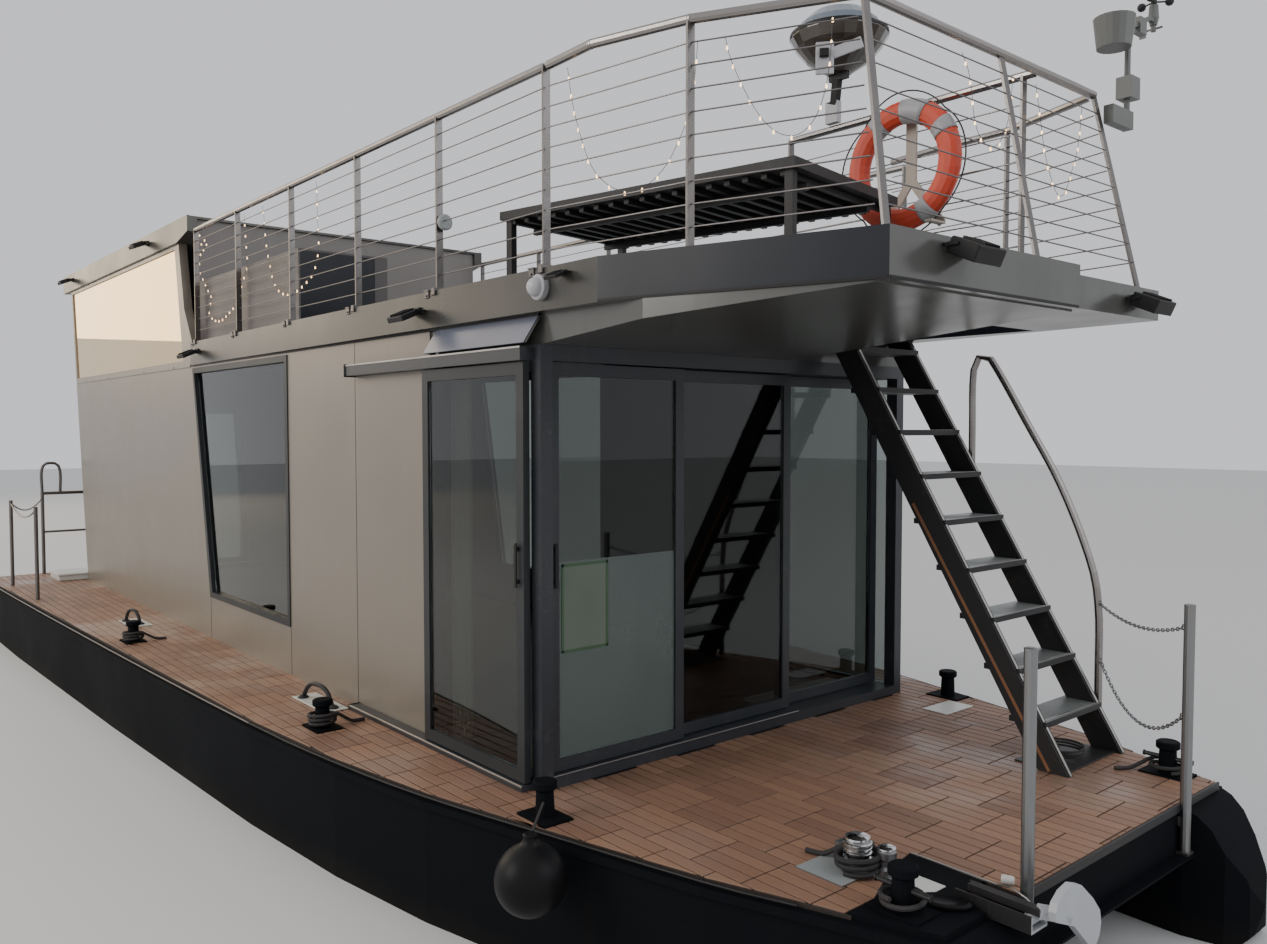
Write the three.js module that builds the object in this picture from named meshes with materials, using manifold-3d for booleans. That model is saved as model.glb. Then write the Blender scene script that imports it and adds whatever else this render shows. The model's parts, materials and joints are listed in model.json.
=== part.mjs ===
// Pontoon houseboat: glazed front, raised aft cabin, roof terrace with railing, and a boarding stair.
// Millimetres. +X points to the bow, +Y to port and +Z up. The flat pontoon bottoms stand on Z = 0.
import * as THREE from 'three';
import { mergeVertices } from 'three/addons/utils/BufferGeometryUtils.js';
import Module from 'manifold-3d';

const wasm = await Module();
wasm.setup();

// Driving heights, from the pontoon bottoms
const PONTOON_TOP = 880;
const DECK_Z = 1070;
const PLANK_T = 25;
const FRAME_TOP = DECK_Z - PLANK_T;
const HEAD_Z = DECK_Z + 2120;
const TERRACE_LOW = DECK_Z + 2262;
const TERRACE_TOP = DECK_Z + 2455;
const ROOF_LOW = DECK_Z + 3335;
const ROOF_TOP = DECK_Z + 3525;
const RAIL_TOP = DECK_Z + 3415;
const GAP = 0.5;

// Driving places along the boat
const HALF_LENGTH = 6400;
const GLAZING_X = 4100;
const DECK_BOW_X = 6120;
const DECK_STERN_X = -5850;
const WALL_FRONT_X = GLAZING_X - 1040;
const WALL_REAR_X = -4900;
const REAR_LEAN = 0.16;
const UPPER_X = GLAZING_X - 5100;
const ROOF_AFT_X = GLAZING_X - 9850;

// Driving widths
const CABIN_HALF = 1430;
const WALL_T = 70;
const PONTOON_IN_STERN = 1150;

// Half width of the deck at stations from stern to bow: x, half width
const DECK_STATIONS = [
  { x: DECK_STERN_X, half: 2325 },
  { x: -4000, half: 2290 },
  { x: -700, half: 2180 },
  { x: 2000, half: 2060 },
  { x: 3000, half: 1975 },
  { x: 3750, half: 1860 },
  { x: 4460, half: 1690 },
  { x: 5260, half: 1490 },
  { x: 5830, half: 1290 },
  { x: DECK_BOW_X, half: 1190 },
];

// Finishes: colour, roughness, metalness
const FINISH = {
  hull: { color: 0x14171a, roughness: 0.45, metalness: 0.3 },
  plank: { color: 0x8a5f47, roughness: 0.75, metalness: 0 },
  panel: { color: 0xa8a090, roughness: 0.35, metalness: 0.5 },
  fascia: { color: 0x7d7b76, roughness: 0.35, metalness: 0.5 },
  frame: { color: 0x2c3036, roughness: 0.5, metalness: 0.2 },
  glass: { color: 0x5f6f70, roughness: 0.05, metalness: 0 },
  steel: { color: 0xb4b4b2, roughness: 0.3, metalness: 1 },
  black: { color: 0x1b1c1e, roughness: 0.6, metalness: 0.2 },
  ring: { color: 0xc8351f, roughness: 0.55, metalness: 0 },
  white: { color: 0xd8d8d4, roughness: 0.5, metalness: 0 },
  rubber: { color: 0x17191c, roughness: 0.7, metalness: 0 },
  engine: { color: 0x3a3d42, roughness: 0.4, metalness: 0.2 },
  bronze: { color: 0x8a6a4c, roughness: 0.4, metalness: 0.7 },
};

const group = new THREE.Group();

// Helpers: geometry to solid, solid to named mesh

function toSolid(geometry) {
  const g = geometry.index ? geometry.toNonIndexed() : geometry.clone();
  g.deleteAttribute('normal');
  g.deleteAttribute('uv');
  const merged = mergeVertices(g, 1e-3);
  return new wasm.Manifold(new wasm.Mesh({
    numProp: 3,
    vertProperties: new Float32Array(merged.attributes.position.array),
    triVerts: new Uint32Array(merged.index.array),
  }));
}

function join(...solids) {
  return solids.reduce((a, b) => a.add(b));
}

function cut(solid, ...tools) {
  return tools.reduce((a, b) => a.subtract(b), solid);
}

function addPart(name, solid, finish) {
  const mesh = solid.getMesh();
  const geometry = new THREE.BufferGeometry();
  geometry.setAttribute('position', new THREE.BufferAttribute(mesh.vertProperties, 3));
  geometry.setIndex(new THREE.BufferAttribute(mesh.triVerts, 1));
  geometry.computeVertexNormals();
  const part = new THREE.Mesh(geometry, new THREE.MeshStandardMaterial(FINISH[finish]));
  part.name = name;
  group.add(part);
}

function box(x0, x1, y0, y1, z0, z1) {
  const g = new THREE.BoxGeometry(Math.abs(x1 - x0), Math.abs(y1 - y0), Math.abs(z1 - z0));
  g.translate((x0 + x1) / 2, (y0 + y1) / 2, (z0 + z1) / 2);
  return toSolid(g);
}

// A plan outline [x, y] raised from z0 to z1
function slab(points, z0, z1) {
  const shape = new THREE.Shape(points.map(([x, y]) => new THREE.Vector2(x, y)));
  const g = new THREE.ExtrudeGeometry(shape, { depth: z1 - z0, bevelEnabled: false });
  g.translate(0, 0, z0);
  return toSolid(g);
}

// A side outline [x, z] spread from y0 to y1
function plate(points, y0, y1) {
  const shape = new THREE.Shape(points.map(([x, z]) => new THREE.Vector2(x, z)));
  const g = new THREE.ExtrudeGeometry(shape, { depth: y1 - y0, bevelEnabled: false });
  g.rotateX(Math.PI / 2);
  g.translate(0, y1, 0);
  return toSolid(g);
}

// A round bar between two points
function bar(a, b, radius, sides = 8, radiusB = radius) {
  const from = new THREE.Vector3(...a);
  const to = new THREE.Vector3(...b);
  const g = new THREE.CylinderGeometry(radiusB, radius, from.distanceTo(to), sides);
  const along = to.clone().sub(from).normalize();
  g.applyQuaternion(new THREE.Quaternion().setFromUnitVectors(new THREE.Vector3(0, 1, 0), along));
  g.translate((from.x + to.x) / 2, (from.y + to.y) / 2, (from.z + to.z) / 2);
  return toSolid(g);
}

// A round tube along a smooth curve through several points
function tube(points, radius, sides, steps) {
  const ring = [];
  for (let i = 0; i < sides; i += 1) {
    const a = (i / sides) * 2 * Math.PI;
    ring.push(new THREE.Vector2(radius * Math.cos(a), radius * Math.sin(a)));
  }
  const places = points.map((p) => new THREE.Vector3(...p));
  const extrudePath = new THREE.CatmullRomCurve3(places, false, 'centripetal');
  const shape = new THREE.Shape(ring);
  return toSolid(new THREE.ExtrudeGeometry(shape, { steps, extrudePath, bevelEnabled: false }));
}

// A round bar through several points, with a ball at each bend
function pipe(points, radius, sides = 8) {
  let solid = bar(points[0], points[1], radius, sides);
  for (let i = 1; i < points.length - 1; i += 1) {
    const bend = ball(points[i], radius * 1.06, sides + 2);
    solid = join(solid, bend, bar(points[i], points[i + 1], radius, sides));
  }
  return solid;
}

function ball(centre, radius, sides = 12) {
  const g = new THREE.SphereGeometry(radius, sides, Math.max(6, sides / 2));
  g.translate(...centre);
  return toSolid(g);
}

// A turned piece round the vertical line through centre, from [radius, z] pairs
function turned(centre, profile, sides = 20) {
  const g = new THREE.LatheGeometry(profile.map(([r, z]) => new THREE.Vector2(r, z)), sides);
  g.rotateX(Math.PI / 2);
  g.translate(...centre);
  return toSolid(g);
}

// A straight square bar between two points, w across and h deep
function strut(a, b, w, h) {
  const from = new THREE.Vector3(...a);
  const to = new THREE.Vector3(...b);
  const g = new THREE.BoxGeometry(w, from.distanceTo(to), h);
  const up = to.clone().sub(from).normalize();
  const side = new THREE.Vector3(0, 1, 0).cross(up).lengthSq() < 0.01
    ? new THREE.Vector3(1, 0, 0)
    : new THREE.Vector3(0, 1, 0);
  const out = new THREE.Vector3().crossVectors(side, up).normalize();
  const flat = new THREE.Vector3().crossVectors(out, up).normalize();
  g.applyMatrix4(new THREE.Matrix4().makeBasis(out, up, flat));
  g.translate((from.x + to.x) / 2, (from.y + to.y) / 2, (from.z + to.z) / 2);
  return toSolid(g);
}

function mirrorY(solid) {
  return solid.mirror([0, 1, 0]);
}

const SIDES = [
  { name: 'starboard', sign: -1 },
  { name: 'port', sign: 1 },
];

// Builds for the starboard side (negative Y) and mirrors for port
function onSide(sign, solid) {
  return sign < 0 ? solid : mirrorY(solid);
}

// Hull

function deckOutline(inset) {
  const right = DECK_STATIONS.map(({ x, half }) => [x, -(half - inset)]);
  right[0][0] += inset;
  right[right.length - 1][0] -= inset;
  const left = right.map(([x, y]) => [x, -y]).reverse();
  return [...right, ...left];
}

// Bow of a pontoon seen from above, starboard, from its outer corner round the nose to its inner corner
const NOSE = [
  [DECK_BOW_X, -1190],
  [HALF_LENGTH - 110, -1150],
  [HALF_LENGTH - 30, -1070],
  [HALF_LENGTH, -965],
  [HALF_LENGTH - 30, -860],
  [HALF_LENGTH - 110, -785],
  [DECK_BOW_X, -745],
];

// The bow in profile, as x from the tip and height: deck edge, round bulge, raked forefoot
const STEM = [
  [-280, FRAME_TOP],
  [-225, FRAME_TOP - 20],
  [-165, FRAME_TOP - 75],
  [-115, PONTOON_TOP],
  [-40, 760],
  [0, 620],
  [-20, 500],
  [-170, 330],
  [-560, 130],
  [-1100, 25],
  [-1500, -10],
];

// What lies ahead of the bow profile, to be cut away
function aheadOfStem() {
  const profile = STEM.map(([x, z]) => [HALF_LENGTH + x, z]);
  return plate([[HALF_LENGTH + 50, -10], [HALF_LENGTH + 50, FRAME_TOP], ...profile], -2600, 0);
}

// One pontoon, starboard: flat bottom, plumb sides, and a bow that bulges and then rakes aft
function pontoon() {
  const outer = DECK_STATIONS.slice(0, -1).map(({ x, half }) => [x, -half]);
  outer[0][0] = -HALF_LENGTH;
  const inner = [[4800, -800], [3200, -1000], [0, -PONTOON_IN_STERN], [-HALF_LENGTH, -PONTOON_IN_STERN]];
  return cut(slab([...outer, ...NOSE, ...inner], 0, PONTOON_TOP - GAP), aheadOfStem());
}

function hull() {
  for (const { name, sign } of SIDES) addPart(`pontoon_${name}`, onSide(sign, pontoon()), 'hull');
}

// Mooring bollards with base plates, in pairs: x, y from the centre line
const BOLLARDS = [
  { x: 5900, y: 1120 },
  { x: GLAZING_X + 250, y: 1590 },
  { x: GLAZING_X - 1700, y: 1780 },
  { x: GLAZING_X - 5000, y: 1960 },
];
const BOLLARD = { plateX: 110, plateY: 75, neck: 40, head: 56, tall: 165 };

function bollard(x, y) {
  const { plateX, plateY, neck, head, tall } = BOLLARD;
  const foot = box(x - plateX, x + plateX, y - plateY, y + plateY, FRAME_TOP - 10, DECK_Z + 8);
  const profile = [
    [0, 0],
    [neck + 5, 0],
    [neck, tall - 45],
    [head, tall - 33],
    [head, tall - 6],
    [head - 8, tall],
    [0, tall],
  ];
  const post = turned([x, y, DECK_Z], profile, 14);
  return join(foot, post);
}

// Front beam between the pontoons with a flange along its foot, which carries the bow posts
const BEAM = { half: 738, low: 852, flangeLow: 842, flangeX: DECK_BOW_X + 58 };

// Bare steel plate at deck level round the windlass and the anchor's channel, let in by edge mm
function bowPlate(edge, low, high) {
  return slab([
    [5781 + edge, -1292 + edge],
    [5783 + edge, -1127],
    [5660 + edge, -844],
    [5631 + edge, -684 - edge],
    [5965, -684 - edge],
    [5965, -915],
    [6106, -915],
    [6106, -1178],
    [5830, -1274],
  ], low, high);
}

function deckFrame() {
  const capPlan = [[DECK_BOW_X - 5, -1190], ...NOSE, [DECK_BOW_X - 5, -745]];
  const noseCap = cut(slab(capPlan, PONTOON_TOP, FRAME_TOP), aheadOfStem());
  let frame = join(
    slab(deckOutline(0), PONTOON_TOP, FRAME_TOP),
    noseCap,
    mirrorY(noseCap),
    box(DECK_BOW_X - 60, DECK_BOW_X, -BEAM.half, BEAM.half, BEAM.low, PONTOON_TOP + 5),
    box(DECK_BOW_X - 60, BEAM.flangeX, -BEAM.half, BEAM.half, BEAM.flangeLow, BEAM.low + 2),
    bowPlate(3, FRAME_TOP - 5, DECK_Z),
  );
  for (const { x, y } of BOLLARDS) frame = join(frame, bollard(x, -y), bollard(x, y));
  return frame;
}

// Tile joints that frame a clear field: along lines of constant x, then of constant y
const TILE_JOINTS = { x: [4400, 5300], y: [-1000, 500], w: 3, deep: 3 };

function deckPlanks() {
  let planks = slab(deckOutline(14), FRAME_TOP + GAP, DECK_Z);
  const dx = BOLLARD.plateX + GAP + 1;
  const dy = BOLLARD.plateY + GAP + 1;
  for (const { x, y } of BOLLARDS) {
    for (const at of [-y, y]) {
      planks = cut(planks, box(x - dx, x + dx, at - dy, at + dy, FRAME_TOP - 20, DECK_Z + 20));
    }
  }
  const { x: [xa, xb], y: [ya, yb], w, deep } = TILE_JOINTS;
  const low = DECK_Z - deep;
  for (const x of [xa, xb]) planks = cut(planks, box(x, x + w, ya - 300, yb + 100, low, DECK_Z + 5));
  for (const y of [ya, yb]) planks = cut(planks, box(xa - 200, xb + 90, y, y + w, low, DECK_Z + 5));
  const nose = box(5960, 6200, -1330, -684, FRAME_TOP - 5, DECK_Z + 5);
  const rim = box(5800, 6200, -1330, -1150, FRAME_TOP - 5, DECK_Z + 5);
  return cut(planks, bowPlate(0, FRAME_TOP - 5, DECK_Z + 5), nose, rim);
}

function deck() {
  addPart('deck_frame', deckFrame(), 'hull');
  addPart('deck_planks', deckPlanks(), 'plank');
}

// Stainless rubbing strip round the deck edge
const STRIP = { low: DECK_Z - 62, high: DECK_Z - 28, out: 22 };
function rubRail() {
  const edge = (off) => DECK_STATIONS.map(({ x, half }) => [x, -half - off]);
  const strip = slab([...edge(GAP), ...edge(STRIP.out).reverse()].reverse(), STRIP.low, STRIP.high);
  for (const { name, sign } of SIDES) addPart(`rub_rail_${name}`, onSide(sign, strip), 'steel');
}

// Cabin walls

function rearX(z) {
  return WALL_REAR_X - REAR_LEAN * (z - DECK_Z);
}

// Lower side window: front edge upright, rear edge slanted
const WINDOW = {
  front: GLAZING_X - 3030,
  low: DECK_Z + 340,
  high: TERRACE_LOW - 25,
  rearLow: GLAZING_X - 4720,
  rearHigh: GLAZING_X - 5090,
};
const UPPER_WINDOW = {
  low: DECK_Z + 2310,
  high: ROOF_LOW - 45,
  frontLow: GLAZING_X - 5360,
  frontHigh: GLAZING_X - 5540,
  rearInset: 60,
};

function windowOutline(inset) {
  return [
    [WINDOW.rearLow + inset * 1.15, WINDOW.low + inset],
    [WINDOW.front - inset, WINDOW.low + inset],
    [WINDOW.front - inset, WINDOW.high - inset],
    [WINDOW.rearHigh + inset * 1.05, WINDOW.high - inset],
  ];
}

// Wall between the upper room and the terrace; it reaches up to a thin lip of the roof
const ROOF_LIP = 20;
const UPPER_FRONT = {
  x: UPPER_X - 60,
  inner: CABIN_HALF - WALL_T - GAP,
  top: ROOF_TOP - ROOF_LIP - GAP,
};

function upperWindowOutline(inset) {
  const { low, high, frontLow, frontHigh, rearInset } = UPPER_WINDOW;
  return [
    [rearX(low) + rearInset + inset, low + inset],
    [frontLow - inset, low + inset],
    [frontHigh - inset, high - inset],
    [rearX(high) + rearInset + inset, high - inset],
  ];
}

function sideWall() {
  const outline = [
    [rearX(DECK_Z), DECK_Z + GAP],
    [WALL_FRONT_X, DECK_Z + GAP],
    [WALL_FRONT_X, TERRACE_LOW - GAP],
    [UPPER_X - GAP, TERRACE_LOW - GAP],
    [UPPER_X - GAP, TERRACE_TOP],
    [UPPER_X - 200, TERRACE_TOP + 300],
    [UPPER_X - 330, ROOF_LOW - GAP],
    [rearX(ROOF_LOW), ROOF_LOW - GAP],
  ];
  const wall = plate(outline, -CABIN_HALF, -CABIN_HALF + WALL_T);
  const hole = plate(windowOutline(0), -CABIN_HALF - 10, -CABIN_HALF + WALL_T + 10);
  const upperHole = plate(upperWindowOutline(0), -CABIN_HALF - 10, -CABIN_HALF + WALL_T + 10);
  return cut(wall, hole, upperHole);
}

const FRAME_W = 45;
const GLASS_T = 12;
function windowFrame() {
  const y0 = -CABIN_HALF - 8;
  const y1 = -CABIN_HALF + WALL_T;
  return cut(plate(windowOutline(GAP), y0, y1), plate(windowOutline(FRAME_W), y0 - 5, y1 + 5));
}

function pane(outline, y) {
  return plate(outline, y, y + GLASS_T);
}

function cabinSides() {
  for (const { name, sign } of SIDES) {
    addPart(`side_wall_${name}`, onSide(sign, sideWall()), 'panel');
    addPart(`window_frame_${name}`, onSide(sign, windowFrame()), 'frame');
    const lower = pane(windowOutline(FRAME_W + GAP), -CABIN_HALF + 25);
    addPart(`window_glass_${name}`, onSide(sign, lower), 'glass');
    const upper = pane(upperWindowOutline(GAP), -CABIN_HALF + 12);
    addPart(`upper_window_${name}`, onSide(sign, upper), 'glass');
  }
}

// Rear wall between the side walls, leaning aft, with a door opening on the centre line
const REAR_DOOR = { half: 420, high: 1980, sill: 60, cover: 25, off: 10, t: 40, travel: 850, rail: 58 };

// A slab that follows the lean of the rear wall, t0 to t1 aft of its outer face
function leaning(z0, z1, t0, t1, y0, y1) {
  return plate([
    [rearX(z0) + 4 - t1, z0],
    [rearX(z0) + 4 - t0, z0],
    [rearX(z1) + 4 - t0, z1],
    [rearX(z1) + 4 - t1, z1],
  ], y0, y1);
}

function rearWall() {
  const inner = CABIN_HALF - WALL_T - GAP;
  const { half, high, sill, cover, travel, rail } = REAR_DOOR;
  const wall = leaning(DECK_Z + GAP, ROOF_LOW - GAP, -WALL_T, 0, -inner, inner);
  const hole = box(WALL_REAR_X - 900, WALL_REAR_X + 300, -half, half, DECK_Z + sill, DECK_Z + high);
  const from = -half - cover - 20;
  const to = half + cover + travel + 10;
  const head = leaning(DECK_Z + high + 32, DECK_Z + high + 92, -1, rail, from, to);
  const foot = leaning(DECK_Z + GAP, DECK_Z + 26, -1, rail, from, to);
  addPart('rear_wall', join(cut(wall, hole), head, foot), 'panel');
}

// Rear door: a leaning leaf outside the wall that slides to port between its two rails
function rearDoor() {
  const { half, high, cover, off, t } = REAR_DOOR;
  const z0 = DECK_Z + 33;
  const z1 = DECK_Z + high + 25;
  const y = half + cover;
  const leaf = (inset, t0, t1) => leaning(z0 + inset, z1 - inset, t0, t1, -y + inset, y - inset);
  addPart('rear_door_frame', cut(leaf(0, off, off + t), leaf(90, off - 8, off + t + 8)), 'frame');
  addPart('rear_door_glass', leaf(90 + GAP, off + 14, off + 26), 'glass');
}

// Wall that faces the terrace below the aft roof
function upperFrontWall() {
  const { x, inner, top } = UPPER_FRONT;
  addPart('upper_front_wall', box(x - WALL_T, x, -inner, inner, TERRACE_LOW - 40, top), 'panel');
}

// Terrace slab and aft roof

const TERRACE_OVER = 15;
const FRONT_EDGE_X = GLAZING_X + 1710;
// Terrace edge from aft to the front corner, starboard then port; the stair narrows the port side
const TERRACE_STARBOARD = [
  [UPPER_X, -CABIN_HALF - TERRACE_OVER],
  [GLAZING_X + 500, -CABIN_HALF - 55],
  [FRONT_EDGE_X, -1115],
];
const TERRACE_PORT = [
  [FRONT_EDGE_X, 1115],
  [GLAZING_X + 60, 1335],
  [GLAZING_X - 40, 1475],
  [UPPER_X, CABIN_HALF + TERRACE_OVER],
];
// The stair opening in the slab, on the port side
const STAIR_HOLE = { x0: GLAZING_X + 170, x1: GLAZING_X + 1050, y0: 640, y1: 1125 };
// The front edge is a step lower to port of the fairing
const LOW_EDGE = { x: GLAZING_X + 1560, y: 300, z: TERRACE_TOP - 45 };
// Joints between the floor panels; the slab itself is in two lengths, which meet at splitX
const PANEL_JOINTS = { x: 1250, y: [-1200, 1200], w: 4, deep: 3, splitX: 3050 };

function terrace() {
  const { x0, x1, y0, y1 } = STAIR_HOLE;
  let body = slab([...TERRACE_STARBOARD, ...TERRACE_PORT], TERRACE_LOW, TERRACE_TOP);
  const low = TERRACE_LOW - 5;
  const high = TERRACE_TOP + 5;
  const wide = CABIN_HALF + 100;
  const step = box(LOW_EDGE.x, FRONT_EDGE_X + 20, LOW_EDGE.y, 1300, LOW_EDGE.z, high);
  body = cut(body, box(x0, x1, y0, y1, low, high), step);
  const { x, y: [ya, yb], w, deep, splitX } = PANEL_JOINTS;
  body = cut(body, box(x, x + w, ya - 180, yb + 180, TERRACE_TOP - deep, high));
  for (const y of [ya, yb]) body = cut(body, box(UPPER_X + 40, splitX + 800, y, y + w, TERRACE_TOP - deep, high));
  addPart('terrace_slab_aft', cut(body, box(splitX, FRONT_EDGE_X + 50, -wide, wide, low, high)), 'fascia');
  addPart('terrace_slab_fore', cut(body, box(UPPER_X - 50, splitX + GAP, -wide, wide, low, high)), 'fascia');
}

function aftRoof() {
  const y = CABIN_HALF + TERRACE_OVER;
  const body = plate([
    [ROOF_AFT_X, ROOF_LOW],
    [UPPER_X - 330, ROOF_LOW],
    [UPPER_X - 30, ROOF_LOW + 60],
    [UPPER_X - 30, ROOF_TOP],
    [ROOF_AFT_X, ROOF_TOP],
  ], -y, y);
  const { x, inner } = UPPER_FRONT;
  const rear = x - WALL_T - GAP;
  const recess = box(rear, UPPER_X, -inner - GAP, inner + GAP, ROOF_LOW - 10, ROOF_TOP - ROOF_LIP);
  addPart('aft_roof', cut(body, recess), 'fascia');
}

// Wedge below the terrace, from the glazing head up to the front edge; it ends to starboard of the stair
const FAIRING_PORT_Y = 350;
function overhangFairing() {
  const top = TERRACE_LOW - GAP;
  const low = HEAD_Z + GAP;
  const wedge = plate([
    [GLAZING_X - 1040, low],
    [GLAZING_X, low],
    [FRONT_EDGE_X - 60, top - 6],
    [FRONT_EDGE_X - 60, top],
    [GLAZING_X - 1040, top],
  ], -CABIN_HALF + 10, CABIN_HALF - 10);
  const stairSide = box(GLAZING_X - 12, FRONT_EDGE_X, FAIRING_PORT_Y, CABIN_HALF, low - 50, top + 50);
  const side = -CABIN_HALF - 60;
  const taper = slab([[GLAZING_X + 500, side], [FRONT_EDGE_X, -1100], [FRONT_EDGE_X, side]], low - 50, top + 50);
  addPart('overhang_fairing', cut(wedge, stairSide, taper), 'fascia');
}

// Front glazing

const POST = 70;
const SILL_H = 55;
const HEAD_H = 75;
const DOOR_T = 38;
const TRACKS = {
  outer: GLAZING_X - 45,
  middle: GLAZING_X - 95,
  inner: GLAZING_X - 145,
};
// Front openings across the boat, starboard to port
const BAYS = [
  { name: 'front_door_1', y0: -1352, y1: -470, track: 'outer' },
  { name: 'front_door_2', y0: -510, y1: 440, track: 'middle' },
  { name: 'fixed_pane', y0: 400, y1: 1350, track: 'inner' },
];

function glazingFrame() {
  const low = DECK_Z + GAP;
  const y = CABIN_HALF;
  const front = join(
    box(GLAZING_X - 170, GLAZING_X, -y, y, low, DECK_Z + SILL_H),
    box(GLAZING_X - 170, GLAZING_X, -y, y, HEAD_Z - HEAD_H, HEAD_Z),
  );
  let frame = front;
  for (const sign of [-1, 1]) {
    const a = sign * y;
    const b = sign * (y - POST);
    frame = join(
      frame,
      box(GLAZING_X - POST - 8, GLAZING_X, a, b, low, HEAD_Z),
      box(WALL_FRONT_X + 1, GLAZING_X, a, b, low, DECK_Z + SILL_H),
      box(WALL_FRONT_X + 1, GLAZING_X, a, b, HEAD_Z - HEAD_H, HEAD_Z),
      box(WALL_FRONT_X + 1, WALL_FRONT_X + 51, a, b, low, HEAD_Z),
    );
  }
  // Rails that carry the side door aft over the wall
  const railY = -CABIN_HALF - 75;
  frame = join(
    frame,
    box(WALL_FRONT_X - 900, GLAZING_X - 60, railY, -CABIN_HALF - 3, HEAD_Z - 75, HEAD_Z - 10),
    box(WALL_FRONT_X, GLAZING_X - 60, -CABIN_HALF - 10, -CABIN_HALF + 10, HEAD_Z - 75, HEAD_Z - 10),
    box(WALL_FRONT_X - 900, GLAZING_X - 60, railY, -CABIN_HALF - 3, DECK_Z + 2, DECK_Z + 30),
    box(WALL_FRONT_X, GLAZING_X - 60, -CABIN_HALF - 10, -CABIN_HALF + 10, DECK_Z + 2, DECK_Z + 30),
  );
  addPart('glazing_frame', frame, 'frame');
}

const STILE = 60;
function doorLeaf(name, x, y0, y1) {
  const z0 = DECK_Z + SILL_H + 6;
  const z1 = HEAD_Z - HEAD_H - 6;
  const leaf = box(x - DOOR_T, x, y0, y1, z0, z1);
  const hole = box(x - DOOR_T - 5, x + 5, y0 + STILE, y1 - STILE, z0 + STILE, z1 - STILE);
  addPart(`${name}_frame`, cut(leaf, hole), 'frame');
  const g = STILE + GAP;
  addPart(`${name}_glass`, box(x - 25, x - 13, y0 + g, y1 - g, z0 + g, z1 - g), 'glass');
}

function frontGlazing() {
  for (const { name, y0, y1, track } of BAYS) doorLeaf(name, TRACKS[track], y0, y1);
}

// Sliding side door, starboard, outside the wall; the same bay to port is one fixed pane
const SIDE_DOOR = { x0: WALL_FRONT_X + 8, x1: GLAZING_X - 66, y: -CABIN_HALF - 18, t: 36 };
function sideDoor() {
  const { x0, x1, y, t } = SIDE_DOOR;
  const z0 = DECK_Z + 36;
  const z1 = HEAD_Z - 82;
  const leaf = box(x0, x1, y - t, y, z0, z1);
  const hole = box(x0 + STILE, x1 - STILE, y - t - 5, y + 5, z0 + STILE, z1 - STILE);
  addPart('side_door_frame', cut(leaf, hole), 'frame');
  const g = STILE + GAP;
  addPart('side_door_glass', box(x0 + g, x1 - g, y - t + 12, y - t + 24, z0 + g, z1 - g), 'glass');
  const fixed = box(WALL_FRONT_X + 51 + GAP, GLAZING_X - POST - 8 - GAP, CABIN_HALF - 40, CABIN_HALF - 28,
    DECK_Z + SILL_H + GAP, HEAD_Z - HEAD_H - GAP);
  addPart('port_side_glass', fixed, 'glass');
}

// Boarding stair from the foredeck to the terrace

const STAIR = {
  y0: 672,
  y1: 1292,
  footX: GLAZING_X + 1515,
  slope: 0.6,
  treads: 9,
  tread: 200,
  string: 45,
  depth: 160,
};
// The handrail from its foot on the deck over the bend and down again: x ahead of the glazing, height
const HANDRAIL = [
  [1340, 3],
  [1338, 420],
  [1335, 700],
  [1310, 900],
  [1240, 1110],
  [1090, 1440],
  [900, 1757],
  [710, 2070],
  [655, 2145],
  [600, 2160],
  [563, 2110],
  [550, 2030],
  [550, 1750],
  [550, 1480],
];
const HANDRAIL_R = 21;
const HANDRAIL_Y = STAIR.y1 + 52;
// Lugs from the handrail to the port string: x ahead of the glazing, height
const LUGS = [[550, 1510], [1337, 200]];

// Front edge of the strings
function stairX(z) {
  return STAIR.footX - STAIR.slope * (z - DECK_Z);
}

function stair() {
  const { y0, y1, treads, string, depth, tread } = STAIR;
  const z0 = DECK_Z + GAP;
  const z1 = TERRACE_LOW - GAP;
  const outline = [[stairX(z0) - depth, z0], [stairX(z0), z0], [stairX(z1), z1], [stairX(z1) - depth, z1]];
  let solid = join(plate(outline, y0, y0 + string), plate(outline, y1 - string, y1));
  const rise = (TERRACE_TOP - DECK_Z) / (treads + 1);
  for (let i = 1; i <= treads; i += 1) {
    const z = DECK_Z + rise * i;
    const x = stairX(z) - depth / 2;
    solid = join(solid, box(x - tread / 2, x + tread / 2, y0 + 10, y1 - 10, z - 30, z));
  }
  addPart('boarding_stair', solid, 'black');
  let rail = tube(HANDRAIL.map(([x, z]) => [GLAZING_X + x, HANDRAIL_Y, DECK_Z + z]), HANDRAIL_R, 10, 36);
  for (const [ahead, up] of LUGS) {
    const x = GLAZING_X + ahead;
    const z = DECK_Z + up;
    rail = join(rail, box(x - 14, x + 14, y1 + GAP, HANDRAIL_Y, z - 18, z + 18));
  }
  addPart('stair_handrail', rail, 'steel');
}

// Terrace railing: flat posts, a round top rail and nine wires in each straight run

const WIRES = 9;
const WIRE_R = 3.5;
const RAIL_R = 21;
const POST_T = 12;
const POST_W = 40;

// Leaves out the points that lie on a straight line between their neighbours
function bends(points) {
  return points.filter((p, i) => {
    if (i === 0 || i === points.length - 1) return true;
    const a = new THREE.Vector3(...points[i - 1]).sub(new THREE.Vector3(...p)).normalize();
    const b = new THREE.Vector3(...points[i + 1]).sub(new THREE.Vector3(...p)).normalize();
    return a.dot(b) > -0.9999;
  });
}

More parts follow.
